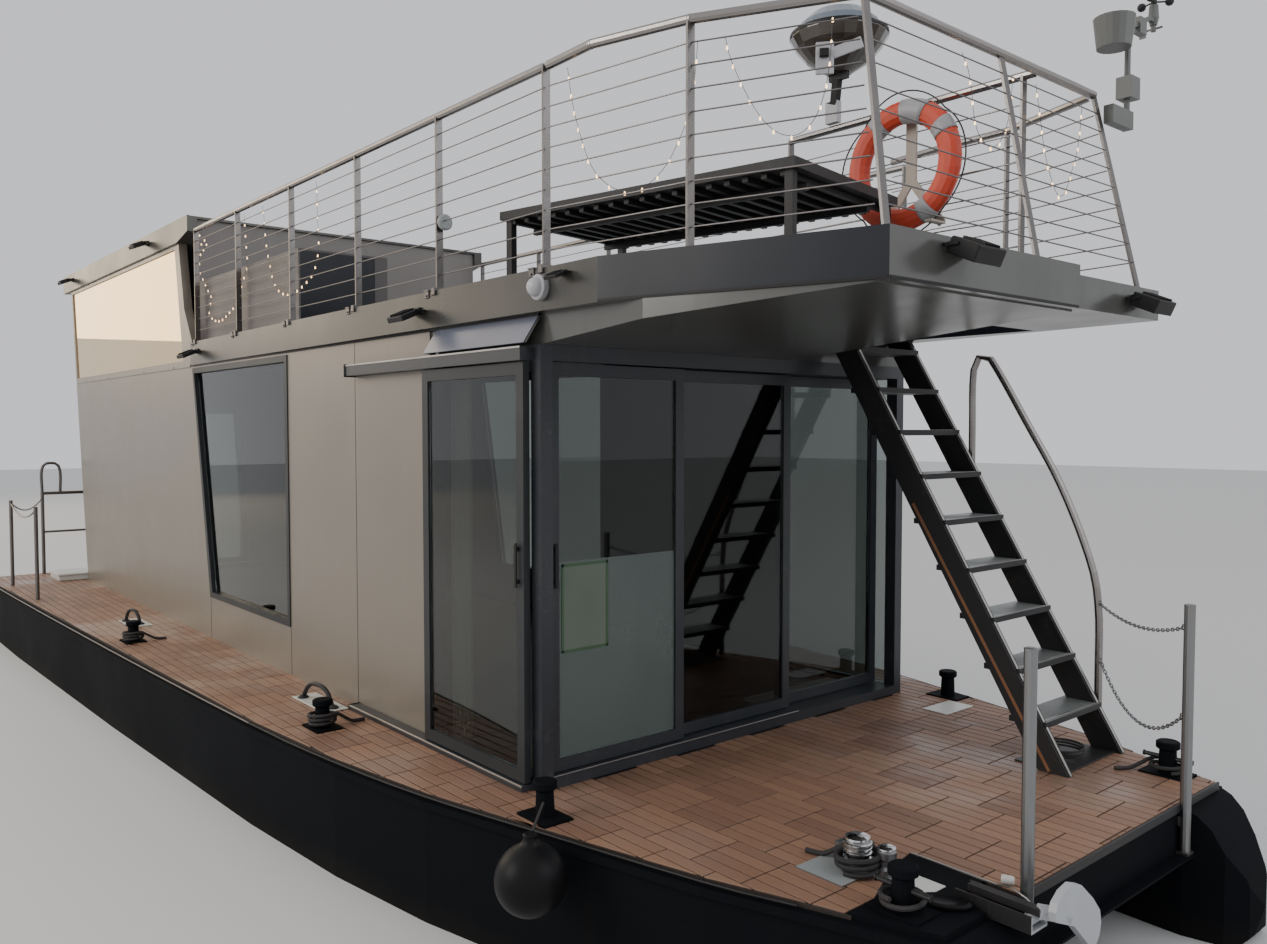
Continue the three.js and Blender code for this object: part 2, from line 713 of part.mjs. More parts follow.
// A run of railing. line: points with foot x, y and head x, y; bare ones hold no post. top: plan of the rail
function railRun(line, top, wires = WIRES) {
  const low = TERRACE_TOP + 5;
  const headZ = RAIL_TOP - RAIL_R;
  let solid = pipe(top.map(([x, y]) => [x, y, headZ]), RAIL_R, 10);
  for (const { fx, fy, hx, hy, bare, foot = low } of line) {
    if (!bare) solid = join(solid, strut([fx, fy, foot], [hx, hy, headZ], POST_T, POST_W));
  }
  for (let w = 1; w <= wires; w += 1) {
    const t = w / (wires + 1);
    const z = low + (headZ - low) * t;
    const at = line.map(({ fx, fy, hx, hy }) => [fx + (hx - fx) * t, fy + (hy - fy) * t, z]);
    solid = join(solid, pipe(bends(at), WIRE_R, 6));
  }
  return solid;
}

function upright(x, y, bare = false) {
  return { fx: x, fy: y, hx: x, hy: y, bare };
}

const RAIL_Y = CABIN_HALF - 30;
const SIDE_POSTS = [-5040, -4050, -3000, -1970, -980, 10].map((x) => GLAZING_X + x);
// Front corners of the railing: feet and heads, which lean aft and inward
const CORNER = { footX: GLAZING_X + 1640, footY: 1040, headX: GLAZING_X + 1450, headY: 930 };
// The runs between the last side post and the front corner: the post's place and the bend of the top rail
const BOW_RUNS = {
  starboard: { post: [4936, -1266], bend: [4460, -1408], startY: -RAIL_Y },
  port: { post: [4950, 1168], bend: [4560, 1182], startY: 1240 },
};
const GUARD = { y: 400, aftX: 4030, bowX: 5470, wires: 6 };

function bowRun({ post: [x, y], bend, startY }) {
  const sign = Math.sign(y);
  const start = GLAZING_X + 32;
  const end = {
    fx: CORNER.footX - 30,
    fy: sign * (CORNER.footY + 14),
    hx: CORNER.headX - 26,
    hy: sign * (CORNER.headY + 16),
    bare: true,
  };
  const line = [upright(start, startY, true), upright(x, y), end];
  return railRun(line, [[start, startY], bend, [x, y], [end.hx, end.hy]]);
}

function railings() {
  const ends = [SIDE_POSTS[0], SIDE_POSTS.at(-1)];
  const side = railRun(SIDE_POSTS.map((x) => upright(x, -RAIL_Y)), ends.map((x) => [x, -RAIL_Y]));
  for (const { name, sign } of SIDES) {
    addPart(`railing_${name}`, onSide(sign, side), 'steel');
    addPart(`railing_bow_${name}`, bowRun(BOW_RUNS[name]), 'steel');
  }
  const { footX, footY, headX, headY } = CORNER;
  addPart('railing_front', railRun([
    { fx: footX, fy: -footY, hx: headX, hy: -headY },
    { fx: footX, fy: 50, hx: headX, hy: 50 },
    { fx: footX, fy: footY, hx: headX, hy: headY, foot: LOW_EDGE.z + 5 },
  ], [[headX, -headY], [headX, headY]]), 'steel');
  const { y, aftX, bowX, wires } = GUARD;
  const guard = railRun([upright(aftX, y), upright(bowX, y)], [[aftX, y], [headX - RAIL_R - 3, y]], wires);
  addPart('railing_stair', guard, 'steel');
}

// Things on the terrace

function skylightBox() {
  const x0 = UPPER_X - 58;
  const x1 = GLAZING_X - 3000;
  const y0 = -1355;
  const y1 = -686;
  const z0 = TERRACE_TOP + GAP;
  const z1 = TERRACE_TOP + 520;
  const front = (xa, xb, g) => box(xa, xb, y0 + 12 + g, y1 - 98 - g, z0 + 25 + g, z1 - 14 - g);
  addPart('skylight_box', cut(box(x0, x1, y0, y1, z0, z1), front(x1 - 16, x1 + 5, 0)), 'panel');
  addPart('skylight_glass', front(x1 - 14, x1 - 2, GAP), 'glass');
}

// Low table on four legs, turned a little to the boat: a flat top in a thin edge over slats
const TABLE = {
  x: 4085,
  y: -445,
  turn: 10.6,
  long: 1830,
  wide: 1030,
  top: TERRACE_TOP + 445,
  t: 45,
  leg: 20,
};

function tableBox(x0, x1, y0, y1, z0, z1) {
  const g = new THREE.BoxGeometry(x1 - x0, y1 - y0, z1 - z0);
  g.translate((x0 + x1) / 2, (y0 + y1) / 2, (z0 + z1) / 2);
  g.rotateZ(THREE.MathUtils.degToRad(TABLE.turn));
  g.translate(TABLE.x, TABLE.y, 0);
  return toSolid(g);
}

function solarTable() {
  const { long, wide, top, t, leg } = TABLE;
  const a = long / 2;
  const b = wide / 2;
  let solid = tableBox(-a, a, -b, b, top - t, top);
  for (const x of [-a + 45, a - 45]) {
    for (const y of [-b + 45, b - 45]) {
      solid = join(solid, tableBox(x - leg, x + leg, y - leg, y + leg, TERRACE_TOP + GAP, top - 5));
    }
  }
  addPart('solar_table', solid, 'black');
}

// Life ring on a three-armed holder that hangs on the stair's guard rail
const RING = { x: 4870, y: 300, z: 4140, major: 275, minor: 60 };
function lifeRing() {
  const { x, y, z, major, minor } = RING;
  const profile = [];
  for (let i = 0; i <= 12; i += 1) {
    const a = (i / 12) * 2 * Math.PI;
    profile.push(new THREE.Vector2(major + minor * Math.cos(a), minor * Math.sin(a) * 0.8));
  }
  profile[12] = profile[0].clone();
  const g = new THREE.LatheGeometry(profile, 32);
  g.translate(x, y, z);
  addPart('life_ring', toSolid(g), 'ring');
  const back = GUARD.y - 26;
  const hub = [x, back, z - 60];
  let holder = strut(hub, [x, back, RAIL_TOP - 2 * RAIL_R - 3], 60, 14);
  for (const sign of [-1, 1]) {
    const hookX = x + sign * 185;
    const hookZ = z - 306;
    const hook = box(hookX - 20, hookX + 20, y - 50, back, hookZ - 7, hookZ + 5);
    holder = join(holder, strut(hub, [hookX, back, hookZ], 44, 14), hook);
  }
  addPart('ring_holder', holder, 'white');
}

// Round lamp with a dome over a bowl, clamped to the guard rail
const DOME = { x: 4420, y: 340, z: 4790, rim: 265 };
function domeLamp() {
  const { x, y, z, rim } = DOME;
  const bowl = [[0, -60], [70, -55], [175, 10], [235, 80], [rim, 130], [rim, 146]];
  const dome = [[236, 150], [215, 205], [150, 262], [60, 284], [0, 288]];
  const solid = join(
    turned([x, y, z], [...bowl, ...dome], 24),
    box(x - 60, x + 60, y - 14, y + 14, z - 90, z - 40),
    strut([x - 10, y, z - 80], [x - 60, GUARD.y - 20, RAIL_TOP + 85], 40, 40),
    box(x - 105, x - 25, GUARD.y - 45, GUARD.y - 5, RAIL_TOP + 3, RAIL_TOP + 120),
  );
  addPart('dome_lamp', solid, 'bronze');
}

// Weather station on the port front corner post: rain gauge inboard, rotors on the outer arm
const STATION = { x: 5600, y: 1190, rotorY: 1484, gaugeY: 1035 };
function weatherStation() {
  const { x, y, rotorY, gaugeY } = STATION;
  const foot = RAIL_TOP - 110;
  const top = RAIL_TOP + 361;
  const arm = RAIL_TOP + 470;
  const elbow = y + 238;
  addPart('weather_mast', join(
    bar([x, y, foot - 45], [x, y, top], 15, 10),
    box(x - 25, x + 25, CORNER.headY + 60, y + 25, foot - 45, foot + 45),
    box(x - 40, x + 40, y - 40, y + 60, RAIL_TOP, RAIL_TOP + 110),
    strut([x, y - 10, top - 4], [x, elbow, arm], 22, 22),
    box(x - 20, x + 20, y + 95, y + 170, top, top + 82),
    box(x - 11, x + 11, elbow - 8, rotorY, arm - 11, arm + 9),
    strut([x, y, top - 15], [x, gaugeY, top - 45], 22, 22),
    turned([x, gaugeY, RAIL_TOP + 222], [[0, 0], [82, 0], [100, 150], [90, 150], [78, 130], [0, 120]], 18),
    turned([x, rotorY, arm - 24], [[0, 0], [18, 0], [27, 40], [22, 106], [0, 110]], 12),
  ), 'white');
  const hubZ = arm + 88;
  const cupZ = hubZ + 11;
  let cups = turned([x, rotorY, hubZ], [[0, 0], [15, 0], [15, 20], [0, 24]], 12);
  for (let i = 0; i < 3; i += 1) {
    const a = ((i + 0.35) / 3) * 2 * Math.PI;
    const at = [x + 78 * Math.cos(a), rotorY + 78 * Math.sin(a), cupZ];
    cups = join(cups, bar([x, rotorY, cupZ], at, 5, 6), ball(at, 23, 10));
  }
  addPart('anemometer_cups', cups, 'black');
  const vaneZ = arm - 55;
  addPart('wind_vane', join(
    turned([x, rotorY, vaneZ], [[0, 0], [13, 0], [13, 30], [0, 30]], 10),
    box(x - 50, x + 46, rotorY - 3, rotorY + 3, vaneZ + 8, vaneZ + 18),
    box(x - 72, x - 38, rotorY - 3, rotorY + 3, vaneZ - 22, vaneZ + 24),
  ), 'white');
}

// Foredeck gear

// Two drums side by side on a plate: rope drum to starboard, chain wheel to port and forward of it
const WINDLASS = { x: 5600, y: -990, wheelX: 5690, wheelY: -925 };
function windlass() {
  const { x, y, wheelX, wheelY } = WINDLASS;
  const z = DECK_Z + GAP;
  const drum = [[0, 3], [66, 3], [66, 14], [44, 28], [38, 48], [40, 80], [54, 96], [54, 122], [44, 130], [0, 130]];
  const wheel = [[0, 3], [46, 3], [46, 30], [32, 40], [32, 58], [38, 68], [38, 94], [30, 100], [0, 100]];
  addPart('anchor_windlass', join(
    box(x - 180, x + 50, y - 157, y + 190, z, z + 6),
    box(x, wheelX + 50, wheelY - 50, wheelY + 50, z, z + 6),
    turned([x, y, z], drum, 18),
    turned([wheelX, wheelY, z], wheel, 16),
    box(x - 150, x - 40, y + 50, y + 165, z + 3, z + 62),
  ), 'steel');
}

// Roller channel on the starboard bow with an anchor in it: shank, one large fluke and a small one
const ANCHOR = { y: -845, aft: 5970, roller: 6270 };
// Flukes seen from the bow, as [y, z] from the waterside corner round
const FLUKE = [
  [-737, 1052],
  [-865, 1106],
  [-872, 1140],
  [-857, 1168],
  [-812, 1196],
  [-751, 1207],
  [-690, 1186],
  [-600, 1112],
  [-545, 1052],
  [-534, 1005],
  [-545, 960],
  [-575, 926],
  [-612, 935],
];
const SMALL_FLUKE = [[-842, 1056], [-838, 1072], [-800, 1092], [-766, 1090], [-700, 1052], [-735, 1020], [-737, 1052]];

// A [y, z] outline spread from x0 to x1
function facing(points, x0, x1) {
  return plate(points, -x1, -x0).rotate([0, 0, 90]);
}

function anchor() {
  const { y, aft, roller } = ANCHOR;
  const z = FRAME_TOP + GAP;
  addPart('bow_anchor', join(
    box(aft, roller, y - 55, y - 47, z, z + 62),
    box(aft, roller, y + 47, y + 55, z, z + 62),
    box(aft, roller, y - 50, y + 50, z, z + 10),
    bar([roller - 28, y - 52, z + 34], [roller - 28, y + 52, z + 34], 20, 12),
    strut([aft + 30, y, z + 66], [roller + 10, y, z + 66], 26, 34),
    strut([roller, y - 6, z + 70], [roller + 62, y + 85, z + 46], 30, 46),
    facing(FLUKE, roller + 44, roller + 72),
    facing(SMALL_FLUKE, roller - 66, roller - 46),
    bar([roller - 60, -770, 1066], [roller + 60, -735, 1078], 16, 10),
  ), 'steel');
}

// Posts on the front beam's flange. Two chains hang from the port one to the stair's handrail
const BOW_POST = { x: DECK_BOW_X + 27, y: 705, r: 24, top: DECK_Z + 925 };
const CHAINS = [
  { postZ: 1890, railX: GLAZING_X + 1326, railZ: 1843, sag: 60 },
  { postZ: 1480, railX: GLAZING_X + 1337, railZ: 1527, sag: 175 },
];
const CHAIN_R = 9;
const CHAIN_STEPS = 10;

function chain(from, to, sag) {
  const points = [];
  for (let i = 0; i <= CHAIN_STEPS; i += 1) {
    const t = i / CHAIN_STEPS;
    points.push(from.map((v, k) => v + (to[k] - v) * t - (k === 2 ? 4 * sag * t * (1 - t) : 0)));
  }
  return tube(points, CHAIN_R, 6, CHAIN_STEPS);
}

function bowPosts() {
  const { x, y, r, top } = BOW_POST;
  for (const { name, sign } of SIDES) {
    let solid = join(
      bar([x, sign * y, BEAM.low + 2 + GAP], [x, sign * y, top], r, 12),
      box(DECK_BOW_X + GAP, x + 26, sign * (y + 32), sign * (y - 32), BEAM.low + 2 + GAP, BEAM.low + 16),
      box(DECK_BOW_X + GAP, x, sign * (y + 20), sign * (y - 20), FRAME_TOP - 60, FRAME_TOP - 20),
    );
    if (name === 'port') {
      const railY = HANDRAIL_Y - HANDRAIL_R - CHAIN_R - 1;
      for (const { postZ, railX, railZ, sag } of CHAINS) {
        solid = join(solid, chain([x - 10, y, postZ], [railX, railY, railZ], sag));
      }
    }
    addPart(`bow_post_${name}`, solid, 'steel');
  }
}

// Ball fender outside the starboard deck edge, with a line from its eye to the bollard
const FENDER = { x: 4630, y: -1860, z: 960, r: 150 };
function fender() {
  const { x, y, z, r } = FENDER;
  const eye = [x, y, z + r + 30];
  addPart('ball_fender', join(ball([x, y, z], r, 18), bar([x, y, z + r - 25], [x, y, z + r + 42], 30, 10),
    bar(eye, [GLAZING_X + 285, -1624, DECK_Z + 80], 8, 6)), 'rubber');
}

// Stern rail on each side of the gate in the middle, with two stanchions along the deck edge joined by chain
const STERN = {
  x: DECK_STERN_X + 90,
  outerY: 1720,
  innerY: 620,
  top: DECK_Z + 960,
  mid: DECK_Z + 500,
  crook: 360,
  crookWide: 190,
  posts: [[-4954, 2170], [-3700, 2150]],
  postTop: DECK_Z + 940,
};
function sternRail() {
  const { x, outerY, innerY, top, mid, crook, crookWide, posts, postTop } = STERN;
  const foot = DECK_Z + GAP;
  const r = 19;
  let solid = join(
    bar([x, -outerY, foot], [x, -outerY, top + 20], r + 1, 10),
    tube([
      [x, -outerY, top],
      [x, -outerY, top + crook - 80],
      [x, -outerY + 30, top + crook - 15],
      [x, -outerY + crookWide / 2, top + crook],
      [x, -outerY + crookWide - 30, top + crook - 15],
      [x, -outerY + crookWide, top + crook - 80],
      [x, -outerY + crookWide, top],
    ], r - 2, 10, 18),
    pipe([[x, -outerY, top], [x, -innerY, top], [x, -innerY, foot]], r, 10),
    bar([x, -outerY, mid], [x, -innerY, mid], 13, 8),
  );
  let from = [x, -outerY, postTop - 30];
  for (const [px, py] of posts) {
    const to = [px, -py, postTop - 30];
    solid = join(solid, bar([px, -py, foot], [px, -py, postTop], r, 10), chain(from, to, 110));
    from = to;
  }
  for (const { name, sign } of SIDES) addPart(`stern_rail_${name}`, onSide(sign, solid), 'steel');
}

// Outboard motor on the aft crossbeam, between the pontoons: bracket, swivel that tilts, motor that steers
const MOTOR = { x: DECK_STERN_X - 160, z: DECK_Z - 120, leg: 820 };
function outboard() {
  const { x, z, leg } = MOTOR;
  addPart('motor_bracket', join(
    box(DECK_STERN_X - 55, DECK_STERN_X - GAP, -130, 130, z - 60, z + 60),
    box(DECK_STERN_X - 110, DECK_STERN_X - 50, -130, -100, z - 60, z + 60),
    box(DECK_STERN_X - 110, DECK_STERN_X - 50, 100, 130, z - 60, z + 60),
    bar([DECK_STERN_X - 90, -125, z + 30], [DECK_STERN_X - 90, 125, z + 30], 18, 12),
  ), 'engine');
  addPart('motor_swivel', join(
    box(x - 30, x + 42, -60, 60, z - 140, z + 50),
    box(x + 40, DECK_STERN_X - 115, -60, 60, z - 10, z + 50),
  ), 'engine');
  const shaftZ = z - leg + 110;
  addPart('motor', join(
    box(x - 330, x - 48, -150, 150, z + 75, z + 560),
    box(x - 300, x - 75, -110, 110, z + 40, z + 80),
    box(x - 195, x - 85, -55, 55, shaftZ + 90, z + 60),
    box(x - 100, x + 15, -28, 28, z + 58, z + 90),
    box(x - 100, x + 15, -28, 28, z - 178, z - 148),
    box(x - 290, x - 60, -90, 90, shaftZ + 150, shaftZ + 165),
    bar([x - 290, 0, shaftZ], [x + 10, 0, shaftZ], 55, 14, 30),
    box(x - 180, x - 80, -15, 15, shaftZ - 170, shaftZ + 100),
  ), 'engine');
  const px = x - 326;
  let prop = bar([px - 60, 0, shaftZ], [px + 34, 0, shaftZ], 45, 14);
  for (let i = 0; i < 3; i += 1) {
    const blade = new THREE.BoxGeometry(10, 90, 130);
    blade.rotateZ(0.5);
    blade.translate(0, 0, 95);
    blade.rotateX((i / 3) * 2 * Math.PI);
    blade.translate(px - 15, 0, shaftZ);
    prop = join(prop, toSolid(blade));
  }
  addPart('propeller', prop, 'engine');
}

hull();
deck();
rubRail();
cabinSides();
rearWall();
rearDoor();
upperFrontWall();
terrace();
aftRoof();
overhangFairing();
glazingFrame();
frontGlazing();
sideDoor();
stair();
railings();
skylightBox();
solarTable();
lifeRing();
domeLamp();
weatherStation();
windlass();
anchor();
bowPosts();
fender();
sternRail();
outboard();

export default group;
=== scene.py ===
"""Pontoon houseboat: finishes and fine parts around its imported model.

Metres, +X to the bow, +Y to port, +Z up.
"""
import json
import math
import random

import bmesh
import bpy
from mathutils import Matrix, Vector


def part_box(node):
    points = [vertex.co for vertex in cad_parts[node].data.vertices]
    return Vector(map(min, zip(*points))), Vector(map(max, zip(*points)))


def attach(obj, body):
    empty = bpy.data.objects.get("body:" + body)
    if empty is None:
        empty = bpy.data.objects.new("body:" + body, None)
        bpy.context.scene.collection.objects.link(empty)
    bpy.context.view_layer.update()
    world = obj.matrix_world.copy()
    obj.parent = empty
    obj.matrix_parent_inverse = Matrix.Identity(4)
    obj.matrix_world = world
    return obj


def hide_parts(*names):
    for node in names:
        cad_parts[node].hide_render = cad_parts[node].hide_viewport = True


bl_info = {
    "name": "Pontoon houseboat",
    "version": (1, 0, 0),
    "blender": (4, 5, 0),
    "location": "View3D > Sidebar > Houseboat",
    "description": "Finishes and fine parts of a pontoon houseboat, around its packed model",
    "category": "Object",
}

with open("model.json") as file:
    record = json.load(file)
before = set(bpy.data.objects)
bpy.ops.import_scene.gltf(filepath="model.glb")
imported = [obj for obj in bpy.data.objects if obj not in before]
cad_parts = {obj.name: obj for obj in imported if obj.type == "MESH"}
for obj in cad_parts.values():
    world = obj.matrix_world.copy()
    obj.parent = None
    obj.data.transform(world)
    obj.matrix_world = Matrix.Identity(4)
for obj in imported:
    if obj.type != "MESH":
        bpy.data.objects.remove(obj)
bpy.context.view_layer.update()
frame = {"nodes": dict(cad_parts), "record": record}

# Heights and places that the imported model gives
WATERLINE = 0.45
DECK_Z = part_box("deck_planks")[1].z
ON_DECK = DECK_Z + 0.0005
WALL_Y = 1.43
GLAZING_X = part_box("glazing_frame")[1].x
TERRACE_LOW, TERRACE_TOP = 3.332, 3.525
FASCIA_Y = 1.445
ROOF_LOW, ROOF_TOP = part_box("aft_roof")[0].z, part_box("aft_roof")[1].z
RAIL_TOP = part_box("railing_starboard")[1].z
SIDE_POST_X = (-0.94, 0.05, 1.10, 2.13, 3.12, 4.11)


# Choosing and editing


def deselect():
    bpy.ops.object.select_all(action="DESELECT")


def activate(obj):
    deselect()
    obj.select_set(True)
    bpy.context.view_layer.objects.active = obj
    return obj


def edit(obj, mode="FACE"):
    activate(obj)
    bpy.ops.object.mode_set(mode="EDIT")
    bpy.ops.mesh.select_mode(type=mode)
    bpy.ops.mesh.select_all(action="DESELECT")


def leave_edit():
    bpy.ops.object.mode_set(mode="OBJECT")


def pick(obj, test, of="faces"):
    """Selects the faces, edges or vertices of the mesh in edit mode that pass the test."""
    mesh = bmesh.from_edit_mesh(obj.data)
    count = 0
    for part in getattr(mesh, of):
        chosen = bool(test(part))
        part.select_set(chosen)
        count += chosen
    mesh.select_flush_mode()
    bmesh.update_edit_mesh(obj.data)
    if not count:
        raise RuntimeError(f"{obj.name}: nothing to select")


def tidy_mesh(obj, distance=1e-5):
    """Closes seams and poles and turns all faces outwards."""
    edit(obj, "VERT")
    bpy.ops.mesh.select_all(action="SELECT")
    bpy.ops.mesh.remove_doubles(threshold=distance)
    bpy.ops.mesh.normals_make_consistent(inside=False)
    leave_edit()
    return obj


def apply_modifier(obj, kind, **settings):
    activate(obj)
    modifier = obj.modifiers.new(kind.title(), kind)
    for key, value in settings.items():
        setattr(modifier, key, value)
    bpy.ops.object.modifier_apply(modifier=modifier.name)
    return obj


def place(obj, matrix):
    """Turns and moves the mesh itself; the object stays at the origin."""
    obj.data.transform(matrix)
    obj.data.update()
    return obj


def twin_of(obj):
    """A copy of an object with its own mesh."""
    twin = obj.copy()
    twin.data = obj.data.copy()
    bpy.context.collection.objects.link(twin)
    return twin


def node_copy(name):
    """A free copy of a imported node, for a piece that takes its place."""
    twin = twin_of(frame["nodes"][name])
    twin.parent = None
    for key in list(twin.keys()):
        del twin[key]
    twin.matrix_world = Matrix.Identity(4)
    twin.hide_render = False
    return twin


def copies(obj, matrices):
    """One shape at many places, each with its own mesh, joined; the first shape goes."""
    made = [place(twin_of(obj), matrix) for matrix in matrices]
    bpy.data.objects.remove(obj, do_unlink=True)
    return joined(made)


def joined(objects):
    activate(objects[0])
    for obj in objects[1:]:
        obj.select_set(True)
    if len(objects) > 1:
        bpy.ops.object.join()
    return bpy.context.object


def smooth(obj, degrees=35):
    activate(obj)
    bpy.ops.object.shade_smooth_by_angle(angle=math.radians(degrees))
    return obj


# Basic shapes, each worked on after it is added


def block(low, high, bevel=0.002, segments=1):
    """A block between two corners with its edges bevelled."""
    low, high = Vector(low), Vector(high)
    deselect()
    bpy.ops.mesh.primitive_cube_add(size=1, location=(low + high) / 2)
    obj = bpy.context.object
    obj.scale = high - low
    bpy.ops.object.transform_apply(location=True, rotation=True, scale=True)
    if bevel:
        edit(obj, "EDGE")
        bpy.ops.mesh.select_all(action="SELECT")
        bpy.ops.mesh.bevel(offset=bevel, segments=segments, affect="EDGES")
        leave_edit()
    return obj


def turned(profile, steps=24, turn=None, angle=360.0):
    """A round piece: a profile of (radius, height) spun about Z, then turned and moved by a matrix."""
    deselect()
    bpy.ops.mesh.primitive_plane_add(size=1, location=(0, 0, 0))
    obj = bpy.context.object
    mesh = bmesh.new()
    dots = [mesh.verts.new((r, 0, z)) for r, z in profile]
    for a, b in zip(dots, dots[1:]):
        mesh.edges.new((a, b))
    mesh.to_mesh(obj.data)
    mesh.free()
    edit(obj, "VERT")
    bpy.ops.mesh.select_all(action="SELECT")
    bpy.ops.mesh.spin(steps=steps, angle=math.radians(angle), center=(0, 0, 0), axis=(0, 0, 1))
    leave_edit()
    tidy_mesh(obj)
    if turn is not None:
        place(obj, turn)
    return smooth(obj)


def swept(points, radius, sides=8, closed=False):
    """A round bar or wire through points."""
    deselect()
    bpy.ops.curve.primitive_nurbs_path_add(location=(0, 0, 0))
    obj = bpy.context.object
    curve = obj.data
    curve.splines.clear()
    spline = curve.splines.new("POLY")
    spline.points.add(len(points) - 1)
    for dot, where in zip(spline.points, points):
        dot.co = (*where, 1)
    spline.use_cyclic_u = closed
    curve.dimensions = "3D"
    curve.bevel_depth = radius
    curve.bevel_resolution = max(0, sides // 2 - 2)
    curve.use_fill_caps = not closed
    activate(obj)
    bpy.ops.object.convert(target="MESH")
    return smooth(tidy_mesh(bpy.context.object))


def outline(points, height, bevel=0.0, turn=None):
    """A flat piece cut to (x, y) points and raised along Z, then turned and moved by a matrix."""
    deselect()
    bpy.ops.mesh.primitive_circle_add(vertices=len(points), fill_type="NGON", location=(0, 0, 0))
    obj = bpy.context.object
    for vertex, (x, y) in zip(obj.data.vertices, points):
        vertex.co = (x, y, 0)
    edit(obj)
    bpy.ops.mesh.select_all(action="SELECT")
    bpy.ops.mesh.extrude_region_move(TRANSFORM_OT_translate={"value": (0, 0, height)})
    bpy.ops.mesh.select_all(action="SELECT")
    bpy.ops.mesh.normals_make_consistent(inside=False)
    if bevel:
        bpy.ops.mesh.bevel(offset=bevel, segments=1, affect="EDGES")
    leave_edit()
    return place(obj, turn) if turn is not None else obj


def strip(start, end, width, thick, bevel=0.0008):
    """A straight flat bar from start to end: thick along Y, width across in the upright plane."""
    start, end = Vector(start), Vector(end)
    along = (end - start).normalized()
    across = Vector((0, 1, 0)).cross(along).normalized()
    bar = block((-width / 2, -thick / 2, 0), (width / 2, thick / 2, (end - start).length), bevel)
    basis = Matrix((across, Vector((0, 1, 0)), along)).transposed().to_4x4()
    return tidy_mesh(place(bar, Matrix.Translation(start) @ basis))


def mirrored_copy(obj):
    """A copy on the other side of the centre line, joined to the first."""
    twin = place(twin_of(obj), Matrix.Scale(-1, 4, (0, 1, 0)))
    return joined([obj, tidy_mesh(twin)])


def rounded(points, steps=4):
    """A smooth line through a few points."""
    dots = [Vector(p) for p in points]
    ends = [2 * dots[0] - dots[1], *dots, 2 * dots[-1] - dots[-2]]
    line = []
    for a, b, c, d in zip(ends, ends[1:], ends[2:], ends[3:]):
        for i in range(steps):
            t = i / steps
            line.append(0.5 * (2 * b + t * (c - a) + t * t * (2 * a - 5 * b + 4 * c - d)
                               + t ** 3 * (3 * b - a - 3 * c + d)))
    return [*line, dots[-1]]


def free_cord(name, points, diameter, finish, sides=6):
    """A cord of the given diameter along a smooth line."""
    cord = swept(points, diameter / 2, sides)
    settle(cord, name, finish)
    return cord


def at(x, y, z, turn_z=0.0, turn_y=0.0, turn_x=0.0):
    """A place, with turns in degrees about X, then Y, then Z."""
    turns = Matrix.Rotation(math.radians(turn_z), 4, "Z")
    turns = turns @ Matrix.Rotation(math.radians(turn_y), 4, "Y")
    return Matrix.Translation((x, y, z)) @ turns @ Matrix.Rotation(math.radians(turn_x), 4, "X")


def settle(obj, name, finish, body="boat"):
    """Names a finished piece, gives it its finish and hangs it on its body."""
    obj.name = obj.data.name = name
    obj.data.materials.clear()
    obj.data.materials.append(finish_named(finish))
    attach(obj, body)
    return obj


# Node trees


class Tree:
    """Short calls that add and link the nodes of one tree."""

    def __init__(self, tree):
        self.tree = tree

    def feed(self, socket, value):
        if isinstance(value, bpy.types.NodeSocket):
            self.tree.links.new(value, socket)
        else:
            socket.default_value = value

    def add(self, kind, inputs=None, **settings):
        node = self.tree.nodes.new("ShaderNode" + kind)
        for key, value in settings.items():
            setattr(node, key, value)
        for key, value in (inputs or {}).items():
            self.feed(node.inputs[key], value)
        return node

    def noise(self, vector, scale, detail=3.0, rough=0.55):
        node = self.add("TexNoise", {"Vector": vector, "Scale": scale, "Detail": detail, "Roughness": rough})
        return node.outputs["Fac"]

    def stretch(self, vector, scale):
        return self.add("Mapping", {"Vector": vector, "Scale": scale}).outputs["Vector"]

    def span(self, value, low, high, to_low=0.0, to_high=1.0):
        node = self.add("MapRange", {"Value": value, "From Min": low, "From Max": high, "To Min": to_low,
                                     "To Max": to_high})
        return node.outputs["Result"]

    def sums(self, operation, a, b=0.0):
        node = self.add("Math", operation=operation)
        self.feed(node.inputs[0], a)
        self.feed(node.inputs[1], b)
        return node.outputs[0]

    def mix(self, mask, a, b):
        node = self.add("Mix", data_type="RGBA")
        self.feed(node.inputs[0], mask)
        self.feed(node.inputs[6], a)
        self.feed(node.inputs[7], b)
        return node.outputs[2]


def shade(rgb):
    """A colour with full alpha from three or four numbers."""
    return (*rgb[:3], 1.0)


def group_tree(name, inputs, outputs):
    tree = bpy.data.node_groups.new(name, "ShaderNodeTree")
    for label, kind, value in inputs:
        socket = tree.interface.new_socket(label, in_out="INPUT", socket_type=kind)
        if value is not None:
            socket.default_value = value
    for label in outputs:
        tree.interface.new_socket(label, in_out="OUTPUT", socket_type="NodeSocketFloat")
    build = Tree(tree)
    return build, tree.nodes.new("NodeGroupInput"), tree.nodes.new("NodeGroupOutput")


